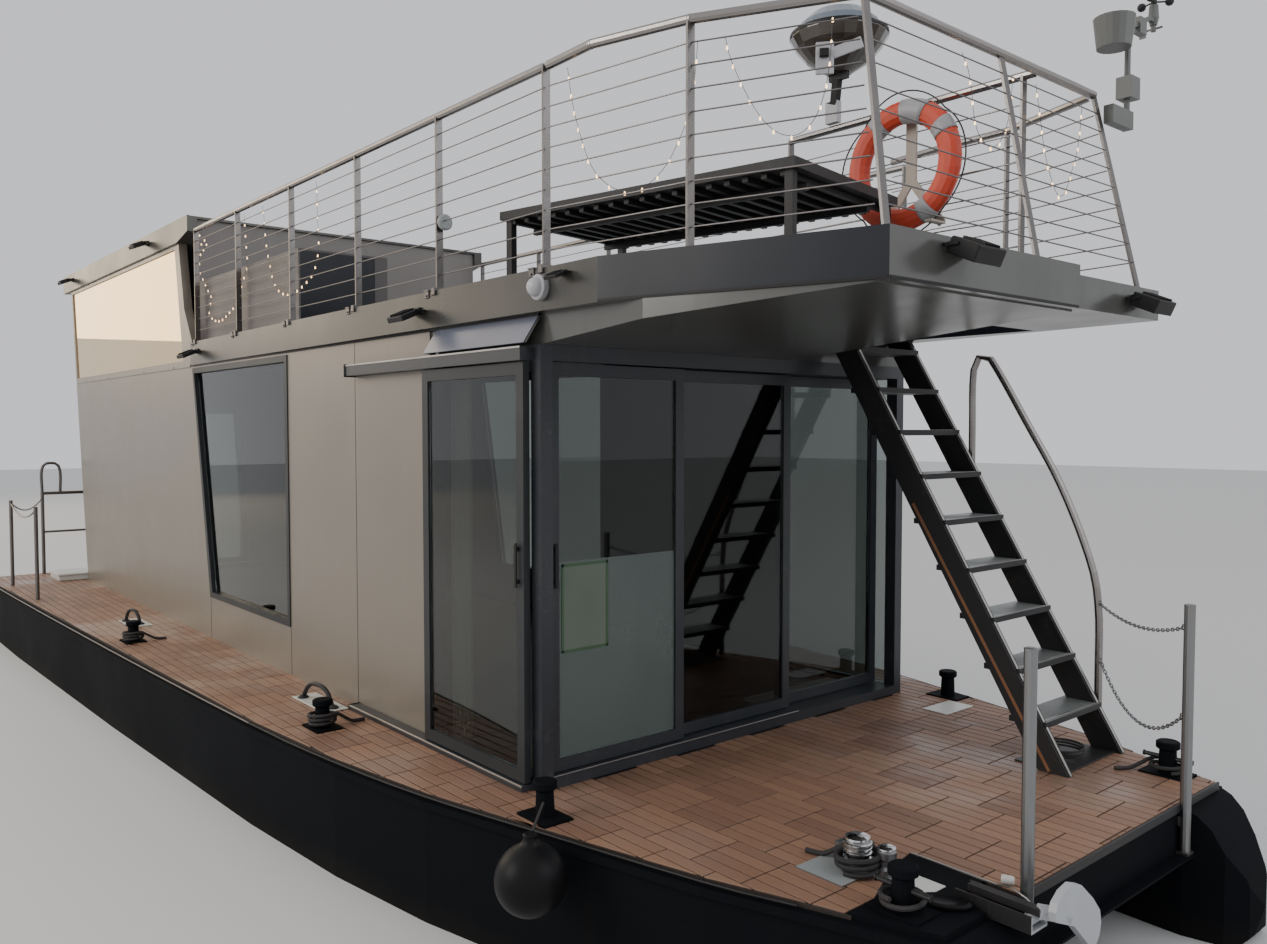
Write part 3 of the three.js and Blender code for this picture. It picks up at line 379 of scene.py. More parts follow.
def weather_group():
    """Broad mottling, streaks that run down, and a fine grain."""
    build, given, out = group_tree(
        "weather",
        [("Vector", "NodeSocketVector", None), ("Mottle Scale", "NodeSocketFloat", 1.6),
         ("Streak Scale", "NodeSocketFloat", 9.0), ("Grain Scale", "NodeSocketFloat", 260.0)],
        ["Mottle", "Streaks", "Grain"],
    )
    where = given.outputs["Vector"]
    mottle = build.noise(where, given.outputs["Mottle Scale"], 4.0)
    thin = build.stretch(where, (1.0, 1.0, 0.06))
    streak = build.noise(thin, given.outputs["Streak Scale"], 5.0, 0.6)
    broken = build.noise(where, 1.1, 2.0)
    streaks = build.sums("MULTIPLY", build.span(streak, 0.52, 0.74), build.span(broken, 0.4, 0.65))
    grain = build.noise(where, given.outputs["Grain Scale"], 2.0, 0.5)
    for label, value in (("Mottle", mottle), ("Streaks", streaks), ("Grain", grain)):
        build.feed(out.inputs[label], value)


def scuff_group():
    """Thin scratches and rubbed patches."""
    build, given, out = group_tree(
        "scuffs",
        [("Vector", "NodeSocketVector", None), ("Scale", "NodeSocketFloat", 14.0)],
        ["Scratches", "Rubbed"],
    )
    where = given.outputs["Vector"]
    bent = build.add("VectorMath", {0: where}, operation="ADD")
    build.feed(bent.inputs[1], build.add("TexNoise", {"Vector": where, "Scale": 3.0}).outputs["Color"])
    cracks = build.add("TexVoronoi", {"Vector": bent.outputs[0], "Scale": given.outputs["Scale"]},
                       feature="DISTANCE_TO_EDGE")
    patchy = build.noise(where, 2.3, 3.0)
    lines = build.sums("MULTIPLY", build.span(cracks.outputs["Distance"], 0.012, 0.0),
                       build.span(patchy, 0.5, 0.62))
    rubbed = build.span(build.noise(where, 7.0, 5.0, 0.7), 0.6, 0.78)
    build.feed(out.inputs["Scratches"], lines)
    build.feed(out.inputs["Rubbed"], rubbed)


def finish_named(name):
    return bpy.data.materials["finish_" + name]


def new_material(name):
    material = bpy.data.materials.new("finish_" + name)
    material.use_nodes = True
    material.node_tree.nodes.clear()
    build = Tree(material.node_tree)
    where = build.add("TexCoord").outputs["Object"]
    shader = build.add("BsdfPrincipled")
    end = build.add("OutputMaterial")
    build.feed(end.inputs["Surface"], shader.outputs[0])
    return build, where, shader


def placed_group(build, name, where, **inputs):
    node = build.add("Group")
    node.node_tree = bpy.data.node_groups[name]
    build.feed(node.inputs["Vector"], where)
    for key, value in inputs.items():
        node.inputs[key.replace("_", " ")].default_value = value
    return node.outputs


def bump(build, shader, height, strength, distance):
    node = build.add("Bump", {"Strength": strength, "Distance": distance, "Height": height})
    build.feed(shader.inputs["Normal"], node.outputs["Normal"])


def painted(name, colour, soil_and_light, rough=0.45, metallic=0.0, streak=0.35, mottle=0.25, grain=0.04,
            low_soil_and_light=None, scuffed=0.0, worn=(0.35, 0.33, 0.31), coat=0.0, shine=0.5):
    """Paint, powder coat or composite sheet: mottled, streaked and scuffed, with a low band that is soil on
    the hull and painted warm light on the wall panel.
    """
    build, where, shader = new_material(name)
    weather = placed_group(build, "weather", where)
    colour, soil_and_light = shade(colour), shade(soil_and_light)
    base = build.mix(build.span(weather["Mottle"], 0.3, 0.7, 0.0, mottle), colour, soil_and_light)
    base = build.mix(build.sums("MULTIPLY", weather["Streaks"], streak), base, soil_and_light)
    roughness = build.span(weather["Mottle"], 0.25, 0.75, rough - 0.06, rough + 0.08)
    # The low band: soil on the hull, a painted warm light at the foot of the wall panel.
    if low_soil_and_light:
        bottom, top, amount = low_soil_and_light
        height = build.add("SeparateXYZ", {"Vector": where}).outputs["Z"]
        ragged = build.sums("ADD", height, build.span(weather["Mottle"], 0.0, 1.0, -0.12, 0.12))
        base = build.mix(build.span(ragged, bottom, top, amount, 0.0), base, soil_and_light)
    if scuffed:
        scuffs = placed_group(build, "scuffs", where)
        marks = build.sums("MAXIMUM", scuffs["Scratches"], build.sums("MULTIPLY", scuffs["Rubbed"], 0.35))
        base = build.mix(build.sums("MULTIPLY", marks, scuffed), base, shade(worn))
        roughness = build.sums("ADD", roughness, build.sums("MULTIPLY", marks, 0.15))
    build.feed(shader.inputs["Base Color"], base)
    build.feed(shader.inputs["Roughness"], roughness)
    shader.inputs["Metallic"].default_value = metallic
    shader.inputs["Coat Weight"].default_value = coat
    shader.inputs["Coat Roughness"].default_value = 0.12
    shader.inputs["Specular IOR Level"].default_value = shine
    bump(build, shader, weather["Grain"], grain, 0.002)
    return shader


BRUSHED = (1.0, 1.0, 40.0)
DULL_METAL = (0.25, 0.22, 0.19)


def metal(name, colour, rough, dull=0.25):
    """Bare metal with a brushed grain and dull patches."""
    build, where, shader = new_material(name)
    weather = placed_group(build, "weather", where, Mottle_Scale=5.0)
    lines = build.noise(build.stretch(where, BRUSHED), 30.0, 3.0, 0.6)
    base = build.mix(build.span(weather["Mottle"], 0.45, 0.8, 0.0, dull), shade(colour), shade(DULL_METAL))
    build.feed(shader.inputs["Base Color"], base)
    rubbed = build.sums("ADD", build.span(lines, 0.3, 0.7, rough - 0.08, rough + 0.08),
                        build.span(weather["Mottle"], 0.4, 0.8, 0.0, 0.12))
    build.feed(shader.inputs["Roughness"], rubbed)
    shader.inputs["Metallic"].default_value = 1.0
    bump(build, shader, lines, 0.06, 0.001)


def glass(name, colour):
    """Window glass: tinted, with a faint film that dulls it in patches."""
    build, where, shader = new_material(name)
    weather = placed_group(build, "weather", where, Mottle_Scale=1.2, Streak_Scale=14.0)
    build.feed(shader.inputs["Roughness"], build.span(weather["Mottle"], 0.6, 0.9, 0.0, 0.006))
    tint = build.mix(build.span(weather["Mottle"], 0.3, 0.7, 0.0, 0.2), shade(colour),
                     shade([c * 0.8 for c in colour]))
    build.feed(shader.inputs["Base Color"], tint)
    shader.inputs["Transmission Weight"].default_value = 1.0
    shader.inputs["IOR"].default_value = 1.45
    shader.inputs["Metallic"].default_value = 0.0


def mirrored(name, colour):
    """Sun film on a pane: it mirrors like metal, dulled a little in patches; its orange tint is a painted
    warm reflection.
    """
    build, where, shader = new_material(name)
    weather = placed_group(build, "weather", where, Mottle_Scale=0.8)
    tint = build.mix(build.span(weather["Mottle"], 0.3, 0.7, 0.0, 0.3), shade(colour),
                     shade([c * 0.85 for c in colour]))
    build.feed(shader.inputs["Base Color"], tint)
    build.feed(shader.inputs["Roughness"], build.span(weather["Mottle"], 0.5, 0.9, 0.01, 0.05))
    shader.inputs["Metallic"].default_value = 0.92


def cells_material():
    """Solar cells: dark blue squares with thin pale lines between them."""
    build, where, shader = new_material("cells")
    turned_back = build.add("Mapping", {"Vector": where})
    turned_back.inputs["Rotation"].default_value = (0, 0, math.radians(-TABLE_TURN))
    grid = build.add("TexBrick", {
        "Vector": turned_back.outputs["Vector"], "Scale": 1.0, "Mortar Size": 0.002, "Brick Width": 0.125,
        "Row Height": 0.125, "Mortar Smooth": 0.0}, offset=0.0)
    grid.inputs["Color1"].default_value = (0.008, 0.012, 0.03, 1)
    grid.inputs["Color2"].default_value = (0.010, 0.016, 0.04, 1)
    grid.inputs["Mortar"].default_value = (0.16, 0.17, 0.18, 1)
    build.feed(shader.inputs["Base Color"], grid.outputs["Color"])
    weather = placed_group(build, "weather", where)
    build.feed(shader.inputs["Roughness"], build.span(weather["Mottle"], 0.3, 0.8, 0.08, 0.2))


def mesh_material():
    """Punched sheet of the treads: small dark holes in pale metal."""
    build, where, shader = new_material("mesh")
    dots = build.add("TexVoronoi", {"Vector": where, "Scale": 48.0, "Randomness": 0.0}, feature="F1")
    hole = build.span(dots.outputs["Distance"], 0.30, 0.36, 1.0, 0.0)
    weather = placed_group(build, "weather", where, Mottle_Scale=4.0)
    base = build.mix(build.span(weather["Mottle"], 0.3, 0.7, 0.0, 0.5), shade((0.33, 0.35, 0.34)),
                     shade((0.2, 0.2, 0.19)))
    # Each hole is a near-black spot: painted shade in place of an open hole.
    base = build.mix(hole, base, shade((0.02, 0.02, 0.02)))
    build.feed(shader.inputs["Base Color"], base)
    build.feed(shader.inputs["Roughness"], build.span(weather["Mottle"], 0.3, 0.7, 0.35, 0.55))
    shader.inputs["Metallic"].default_value = 0.4
    bump(build, shader, hole, -0.6, 0.002)


def bulb_material():
    """A small lit bulb, brighter in its middle."""
    build, where, shader = new_material("bulb")
    weather = placed_group(build, "weather", where, Mottle_Scale=30.0)
    glow = build.mix(build.span(weather["Mottle"], 0.3, 0.7), shade((1.0, 0.50, 0.18)),
                     shade((1.0, 0.72, 0.40)))
    build.feed(shader.inputs["Emission Color"], glow)
    shader.inputs["Emission Strength"].default_value = 3.5
    shader.inputs["Base Color"].default_value = (0.9, 0.8, 0.6, 1)


def tile_material(colour, dark):
    """Slatted deck tiles: each slat has its own tone and fine ribs; glossy patches carry a painted paler
    sheen, and the grooves painted shade.
    """
    build, where, shader = new_material("tile")
    tone = build.add("Attribute", attribute_name="tone").outputs["Fac"]
    weather = placed_group(build, "weather", where, Mottle_Scale=0.9, Grain_Scale=180.0)
    fibre = build.noise(build.stretch(where, (6.0, 90.0, 6.0)), 6.0, 5.0, 0.65)
    base = build.mix(build.span(tone, 0.0, 1.0), shade(dark), shade(colour))
    base = build.mix(build.span(fibre, 0.35, 0.75, 0.0, 0.35), base, shade([c * 0.55 for c in dark]))
    # Glossy patches are mixed to a paler colour: a painted sheen.
    damp_sheen = build.span(weather["Mottle"], 0.5, 0.62)
    pale = [0.5 * c + 0.16 for c in colour]
    base = build.mix(build.sums("MULTIPLY", damp_sheen, 0.22), base, shade(pale))
    height = build.add("SeparateXYZ", {"Vector": where}).outputs["Z"]
    # Faces at groove depth are darkened to near black: painted shade in the grooves.
    groove = build.span(height, DECK_Z - 0.006, DECK_Z - 0.001, 1.0, 0.0)
    base = build.mix(groove, base, shade((0.03, 0.022, 0.018)))
    build.feed(shader.inputs["Base Color"], base)
    build.feed(shader.inputs["Roughness"], build.span(weather["Mottle"], 0.48, 0.62, 0.55, 0.3))
    ribs = build.add("TexWave", {"Vector": where, "Scale": 18.0, "Distortion": 0.3}, wave_type="BANDS",
                     bands_direction="Y").outputs["Fac"]
    bump(build, shader, build.sums("ADD", build.sums("MULTIPLY", ribs, 0.6), fibre), 0.25, 0.0015)


def plain_finishes(colours):
    weather_group()
    scuff_group()
    painted("hull", colours.hull, (0.020, 0.017, 0.013), 0.6, streak=0.2, mottle=0.08,
            low_soil_and_light=(0.45, 0.58, 0.45), scuffed=0.3, worn=(0.02, 0.02, 0.02), shine=0.03)
    tile_material(colours.tile, colours.tile_dark)
    # The panel's soil colour is lighter and warmer than the panel; in the low band it is a painted warm light
    # at the wall's foot.
    painted("panel", colours.panel, (0.30, 0.26, 0.20), 0.34, metallic=0.35, streak=0.25, mottle=0.2,
            grain=0.015, low_soil_and_light=(1.05, 1.45, 0.4))
    painted("fascia", colours.fascia, (0.10, 0.095, 0.085), 0.3, metallic=0.5, streak=0.45, mottle=0.35,
            grain=0.015)
    painted("cladding", (0.088, 0.078, 0.077), (0.05, 0.044, 0.042), 0.5, streak=0.4)
    # A darker, greyer copy of the wall panel for the wall that faces the bow: painted shade.
    painted("panel_upper", (0.19, 0.172, 0.165), (0.12, 0.105, 0.1), 0.45, streak=0.3, metallic=0.2)
    painted("frame", colours.frame, (0.05, 0.048, 0.045), 0.42, streak=0.3, mottle=0.2, grain=0.06,
            scuffed=0.15, shine=0.28)
    painted("black", colours.black, (0.06, 0.05, 0.042), 0.45, streak=0.3, mottle=0.25, scuffed=0.6,
            worn=(0.16, 0.12, 0.09), shine=0.3)
    painted("trim_dark", (0.009, 0.009, 0.010), (0.03, 0.027, 0.024), 0.5, shine=0.3)
    # Near black so that the cabin looks dim through the glass: painted shade inside the cabin.
    painted("lining", (0.040, 0.036, 0.032), (0.02, 0.018, 0.016), 0.6, shine=0.3)
    film = painted("film", (0.15, 0.19, 0.175), (0.10, 0.13, 0.12), 0.3, mottle=0.5)
    film.inputs["Alpha"].default_value = 0.62
    painted("film_frame", (0.05, 0.11, 0.05), (0.03, 0.05, 0.03), 0.5)
    painted("film_sheet", (0.15, 0.17, 0.13), (0.08, 0.12, 0.09), 0.4, mottle=0.8)
    painted("mast", (0.12, 0.125, 0.118), (0.07, 0.068, 0.06), 0.45, mottle=0.3)
    painted("holder", (0.40, 0.35, 0.29), (0.25, 0.2, 0.16), 0.5, mottle=0.4)
    painted("fluke", (0.44, 0.46, 0.49), (0.28, 0.27, 0.25), 0.45, mottle=0.35, scuffed=0.3)
    painted("bowl", (0.030, 0.020, 0.012), (0.10, 0.09, 0.08), 0.12, mottle=0.6, coat=0.7)
    painted("ring", colours.ring, (0.30, 0.05, 0.03), 0.5, streak=0.5, mottle=0.5, grain=0.1)
    painted("ring_band", (0.33, 0.33, 0.34), (0.2, 0.18, 0.17), 0.4, grain=0.1)
    painted("white", (0.62, 0.62, 0.59), (0.36, 0.33, 0.27), 0.4, streak=0.5, mottle=0.35)
    painted("rubber", (0.006, 0.006, 0.007), (0.014, 0.013, 0.012), 0.38, mottle=0.2, grain=0.08, scuffed=0.2,
            worn=(0.02, 0.02, 0.02), shine=0.14)
    painted("engine", (0.03, 0.033, 0.037), (0.08, 0.075, 0.07), 0.32, coat=0.5)
    painted("copper", (0.36, 0.17, 0.09), (0.12, 0.07, 0.04), 0.4, metallic=0.6, mottle=0.6)
    painted("dome", (0.12, 0.15, 0.19), (0.25, 0.26, 0.27), 0.3, mottle=0.3, coat=0.4)
    painted("rope", (0.016, 0.016, 0.018), (0.07, 0.06, 0.05), 0.8, grain=0.5, mottle=0.5)
    painted("floor_cabin", (0.16, 0.12, 0.09), (0.08, 0.06, 0.05), 0.4)
    metal("steel", colours.steel, 0.3)
    metal("galvanised", (0.27, 0.275, 0.28), 0.38, dull=0.5)
    metal("chrome", (0.75, 0.75, 0.76), 0.12)
    glass("glass", colours.glass)
    # The orange tint stands in for the warm evening light that the upper windows mirror: painted reflection.
    mirrored("mirrored", (0.92, 0.66, 0.33))
    # Opaque near-black paint in place of the skylight's glass: painted shade of the dim cabin under it.
    painted("pane_dark", (0.010, 0.011, 0.016), (0.02, 0.021, 0.024), 0.25, mottle=0.2, streak=0.1,
            grain=0.0, shine=0.25)
    # A darker, bluer copy of the fascia for its edge forward of the bend: painted shade and sky reflection.
    painted("fascia_blue", (0.010, 0.013, 0.020), (0.02, 0.02, 0.02), 0.34, mottle=0.3, grain=0.01, shine=0.3)
    painted("soffit", (0.12, 0.12, 0.113), (0.05, 0.05, 0.045), 0.2, metallic=0.3, mottle=0.4, grain=0.01)
    # The frieze's pale blue is the sky that the leaning board mirrors: a painted reflection on its composite.
    painted("frieze", (0.13, 0.145, 0.195), (0.11, 0.11, 0.12), 0.32, metallic=0.2, mottle=0.3, grain=0.01)
    # A darker, bluer copy of the frame finish for the frames that face the bow: painted shade.
    painted("front_frame", (0.016, 0.020, 0.027), (0.06, 0.06, 0.058), 0.4, mottle=0.3, grain=0.05,
            scuffed=0.2)
    painted("grey", (0.27, 0.29, 0.29), (0.2, 0.2, 0.18), 0.45, mottle=0.3)
    painted("curtain", (0.55, 0.52, 0.44), (0.2, 0.2, 0.18), 0.8, grain=0.3)
    metal("wire", (0.16, 0.15, 0.15), 0.4, dull=0.5)
    painted("wire_dark", (0.05, 0.045, 0.04), (0.1, 0.09, 0.08), 0.5)
    painted("lamp_pale", (0.42, 0.42, 0.44), (0.25, 0.24, 0.23), 0.35, mottle=0.3)
    metal("rail", (0.30, 0.28, 0.27), 0.26, dull=0.4)
    metal("edge", (0.46, 0.45, 0.43), 0.36, dull=0.5)
    cells_material()
    mesh_material()
    bulb_material()


# What a user may change


def size(name, text, default):
    return bpy.props.FloatProperty(name=name, description=text, default=default, min=0.0005,
                                   subtype="DISTANCE", unit="LENGTH")


def colour(name, text, default):
    return bpy.props.FloatVectorProperty(name=name, description=text, default=default, size=3, min=0.0,
                                         max=1.0, subtype="COLOR")


class HouseboatSizes(bpy.types.PropertyGroup):
    tile: size("Deck tile", "Side of one square deck tile", 0.2815)
    groove: size("Groove", "Gap between two slats of a tile", 0.006)
    groove_depth: size("Groove depth", "Height of a slat above the tile's base", 0.007)
    joint: size("Wall joint", "Width of the dark joint between wall panels", 0.006)


class HouseboatColours(bpy.types.PropertyGroup):
    hull: colour("Hull", "Paint of the pontoons and deck frame", (0.006, 0.007, 0.009))
    tile: colour("Tile", "Light tone of the deck tiles", (0.33, 0.182, 0.112))
    tile_dark: colour("Tile, dark", "Dark tone of the deck tiles", (0.19, 0.102, 0.066))
    panel: colour("Wall panel", "Composite sheet of the walls", (0.215, 0.188, 0.158))
    fascia: colour("Fascia", "Composite sheet of the terrace and roof edges", (0.066, 0.064, 0.059))
    frame: colour("Frames", "Powder coat of the window and door frames", (0.022, 0.025, 0.028))
    black: colour("Black parts", "Paint of the stair and the table", (0.014, 0.015, 0.017))
    steel: colour("Steel", "Rails and posts", (0.155, 0.145, 0.14))
    ring: colour("Life ring", "Plastic of the life ring", (0.62, 0.062, 0.026))
    glass: colour("Glass", "Tint of the panes", (0.27, 0.30, 0.288))


class MakeStage(bpy.types.Operator):
    """Pale floor at the waterline, soft light and the camera"""

    bl_idname = "houseboat.stage"
    bl_label = "Stage"

    def execute(self, context):
        deselect()
        bpy.ops.mesh.primitive_plane_add(size=FLOOR_SIZE, location=(0, 0, WATERLINE))
        floor = context.object
        floor.name = "stage_floor"
        material = bpy.data.materials.new("stage_pale")
        material.use_nodes = True
        shader = material.node_tree.nodes["Principled BSDF"]
        shader.inputs["Base Color"].default_value = (0.62, 0.62, 0.61, 1)
        shader.inputs["Roughness"].default_value = 0.85
        floor.data.materials.append(material)
        world = bpy.data.worlds.new("soft_sky")
        world.use_nodes = True
        sky = world.node_tree.nodes["Background"]
        sky.inputs["Color"].default_value = (0.95, 0.96, 1.0, 1)
        sky.inputs["Strength"].default_value = 0.85
        context.scene.world = world
        for name, spot, aim, power, width, tint in LIGHTS:
            deselect()
            bpy.ops.object.light_add(type="AREA", location=spot)
            lamp = context.object
            lamp.name = name
            lamp.data.energy = power
            lamp.data.size = width
            lamp.data.color = tint
            lamp.rotation_euler = (Vector(aim) - Vector(spot)).to_track_quat("-Z", "Y").to_euler()
        bpy.ops.object.camera_add(location=CAMERA_AT)
        camera = context.object
        camera.name = "camera"
        level = math.cos(CAMERA_PITCH)
        ahead = Vector((math.cos(CAMERA_YAW) * level, math.sin(CAMERA_YAW) * level, math.sin(CAMERA_PITCH)))
        across = ahead.cross(Vector((0, 0, 1))).normalized()
        axes = Matrix((across, across.cross(ahead), -ahead)).transposed().to_4x4()
        camera.matrix_world = Matrix.Translation(CAMERA_AT) @ axes
        camera.data.sensor_width = SENSOR_MM
        camera.data.lens = LENS_MM
        camera.data.clip_end = FAR_CLIP
        context.scene.camera = camera
        return {"FINISHED"}


CAMERA_AT = (8.012, -4.178, 2.793)
CAMERA_YAW = math.radians(139.71)
CAMERA_PITCH = math.radians(-2.41)
SENSOR_MM, LENS_MM, FAR_CLIP = 36.0, 28.95, 300
FLOOR_SIZE = 120
# Name, place, aim, power, width and tint. The low light aft stands in for the evening sky
LIGHTS = (
    ("light_starboard", (-1.0, -13.0, 8.0), (0, -1, 2), 900.0, 7.0, (1.0, 0.94, 0.86)),
    ("light_evening", (-27.0, -9.5, 12.5), (-2, -1, 4), 1700.0, 14.0, (1.0, 0.80, 0.53)),
    ("light_bow", (13.0, 3.0, 8.0), (3, 0, 2), 260.0, 6.0, (0.93, 0.96, 1.0)),
)


# Nodes whose finish isn't that of their material slot
NODE_FINISHES = {
    "mirrored": "upper_window_starboard upper_window_port",
    "pane_dark": "skylight_glass",
    "hull": "rub_rail_starboard rub_rail_port",
    "soffit": "overhang_fairing",
    "rail": "stair_handrail",
    "galvanised": "bow_post_starboard bow_post_port anchor_windlass",
    "black": "bow_anchor",
    "mast": "weather_mast wind_vane",
    "holder": "ring_holder",
    "panel_upper": "upper_front_wall",
    "cladding": "skylight_box",
    "bowl": "dome_lamp",
    "front_frame": "front_door_1_frame front_door_2_frame fixed_pane_frame glazing_frame",
}


class FinishNodes(bpy.types.Operator):
    """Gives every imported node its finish, and some of their faces one of their own"""

    bl_idname = "houseboat.finishes"
    bl_label = "Finishes"

    def execute(self, context):
        plain_finishes(context.scene.houseboat_colours)
        special = {node: finish for finish, nodes in NODE_FINISHES.items() for node in nodes.split()}
        for row in frame["record"]["subparts"]:
            obj = frame["nodes"][row["node"]]
            finish = special.get(row["node"], row["material_slot"])
            material = finish_named("tile" if finish == "plank" else finish)
            obj.data.materials.clear()
            obj.data.materials.append(material)
        for name, finishes, choose in FACE_FINISHES:
            part_finishes(frame["nodes"][name], finishes, choose)
        return {"FINISHED"}


def part_finishes(obj, finishes, choose):
    """Gives faces a finish of their own: choose(centre, normal, rise) is a place in finishes, or none."""
    first = len(obj.data.materials)
    for finish in finishes:
        obj.data.materials.append(finish_named(finish))
    heights = [v.co.z for v in obj.data.vertices]
    for face in obj.data.polygons:
        rise = max(heights[i] for i in face.vertices) - min(heights[i] for i in face.vertices)
        number = choose(face.center, face.normal, rise)
        if number is not None:
            face.material_index = first + number


def railing_part(centre, normal, rise):
    """0 is the top rail and 1 a wire; the posts keep the node's finish."""
    if centre.z > RAIL_TOP - 0.046:
        return 0
    return 1 if rise < 0.009 and centre.z > TERRACE_TOP + 0.06 else None


def lamp_part(centre, normal, rise):
    """0 is the dome over the rim, 1 the stem and 2 the plate; the bowl keeps the node's finish."""
    if centre.z > 4.938:
        return 0
    if centre.z < 4.60:
        return 2
    return 1 if centre.z < 4.725 else None


def terrace_edge_part(centre, normal, rise):
    """0 is the underside, 1 the edge forward of the bend, darker and bluer as painted shade and sky
    reflection, 2 the front edge, 3 the floor and 4 the cabin's ceiling.
    """
    if normal.z < -0.5:
        return 4 if centre.x < 4.05 else 0
    if normal.z > 0.5:
        return 3
    if centre.x > 5.6 and normal.x > 0.5:
        return 2
    return 1 if centre.x > 4.6 else None


def stair_tread(centre, normal, rise):
    """0 is the top or underside of a tread."""
    return 0 if abs(normal.z) > 0.95 and 0.72 < centre.y < 1.244 and centre.z < 3.3 else None


RAILINGS = ("railing_starboard", "railing_port", "railing_bow_starboard", "railing_bow_port",
            "railing_front", "railing_stair")
TERRACE_FINISHES = ("soffit", "fascia_blue", "soffit", "grey", "lining")
FACE_FINISHES = (
    *((name, ("rail", "wire"), railing_part) for name in RAILINGS),
    ("terrace_slab_fore", TERRACE_FINISHES, terrace_edge_part),
    ("terrace_slab_aft", TERRACE_FINISHES, terrace_edge_part),
    ("solar_table", ("cells",),
     lambda centre, normal, rise: 0 if normal.z > 0.9 and centre.z > 3.96 else None),
    ("stair_handrail", ("steel",), lambda centre, normal, rise: 0 if centre.z < 1.2 else None),
    ("anchor_windlass", ("grey",),
     lambda centre, normal, rise: 0 if normal.z > 0.9 and centre.z < 1.085 else None),
    ("bow_anchor", ("fluke",), lambda centre, normal, rise: 0 if centre.x > 6.19 else None),
    ("dome_lamp", ("dome", "trim_dark", "lamp_pale"), lamp_part),
    ("boarding_stair", ("mesh",), stair_tread),
    # The inner faces of the walls take the near-black lining: painted shade inside the cabin.
    ("side_wall_starboard", ("lining",), lambda centre, normal, rise: 0 if normal.y > 0.5 else None),
    ("side_wall_port", ("lining",), lambda centre, normal, rise: 0 if normal.y < -0.5 else None),
    ("rear_wall", ("lining",), lambda centre, normal, rise: 0 if normal.x > 0.5 else None),
)


# Deck tiles: cross joints of the even and odd columns, and the slats in one tile
EVEN_JOINT_X, ODD_JOINT_X = 5.24, 5.375
SLATS = 4
# Narrower faces than this get no groove
LEAST_SLAT = 0.012
CABIN_FLOOR = (-4.90, 4.02, -1.36, 1.36)
# Faces within this angle are flat, points within SAME are one, and lines within ON_LINE of a step lie on it
FLAT_ANGLE, SAME, ON_LINE = math.radians(2), 1e-4, 1e-3


def tile_cell(x, y, tile):
    """Column, row and slat at a place on the deck."""
    column = math.floor(y / tile)
    start = EVEN_JOINT_X if column % 2 == 0 else ODD_JOINT_X
    return column, math.floor((x - start) / tile), math.floor(y / (tile / SLATS))


def inside_cabin(x, y):
    x0, x1, y0, y1 = CABIN_FLOOR
    return x0 < x < x1 and y0 < y < y1


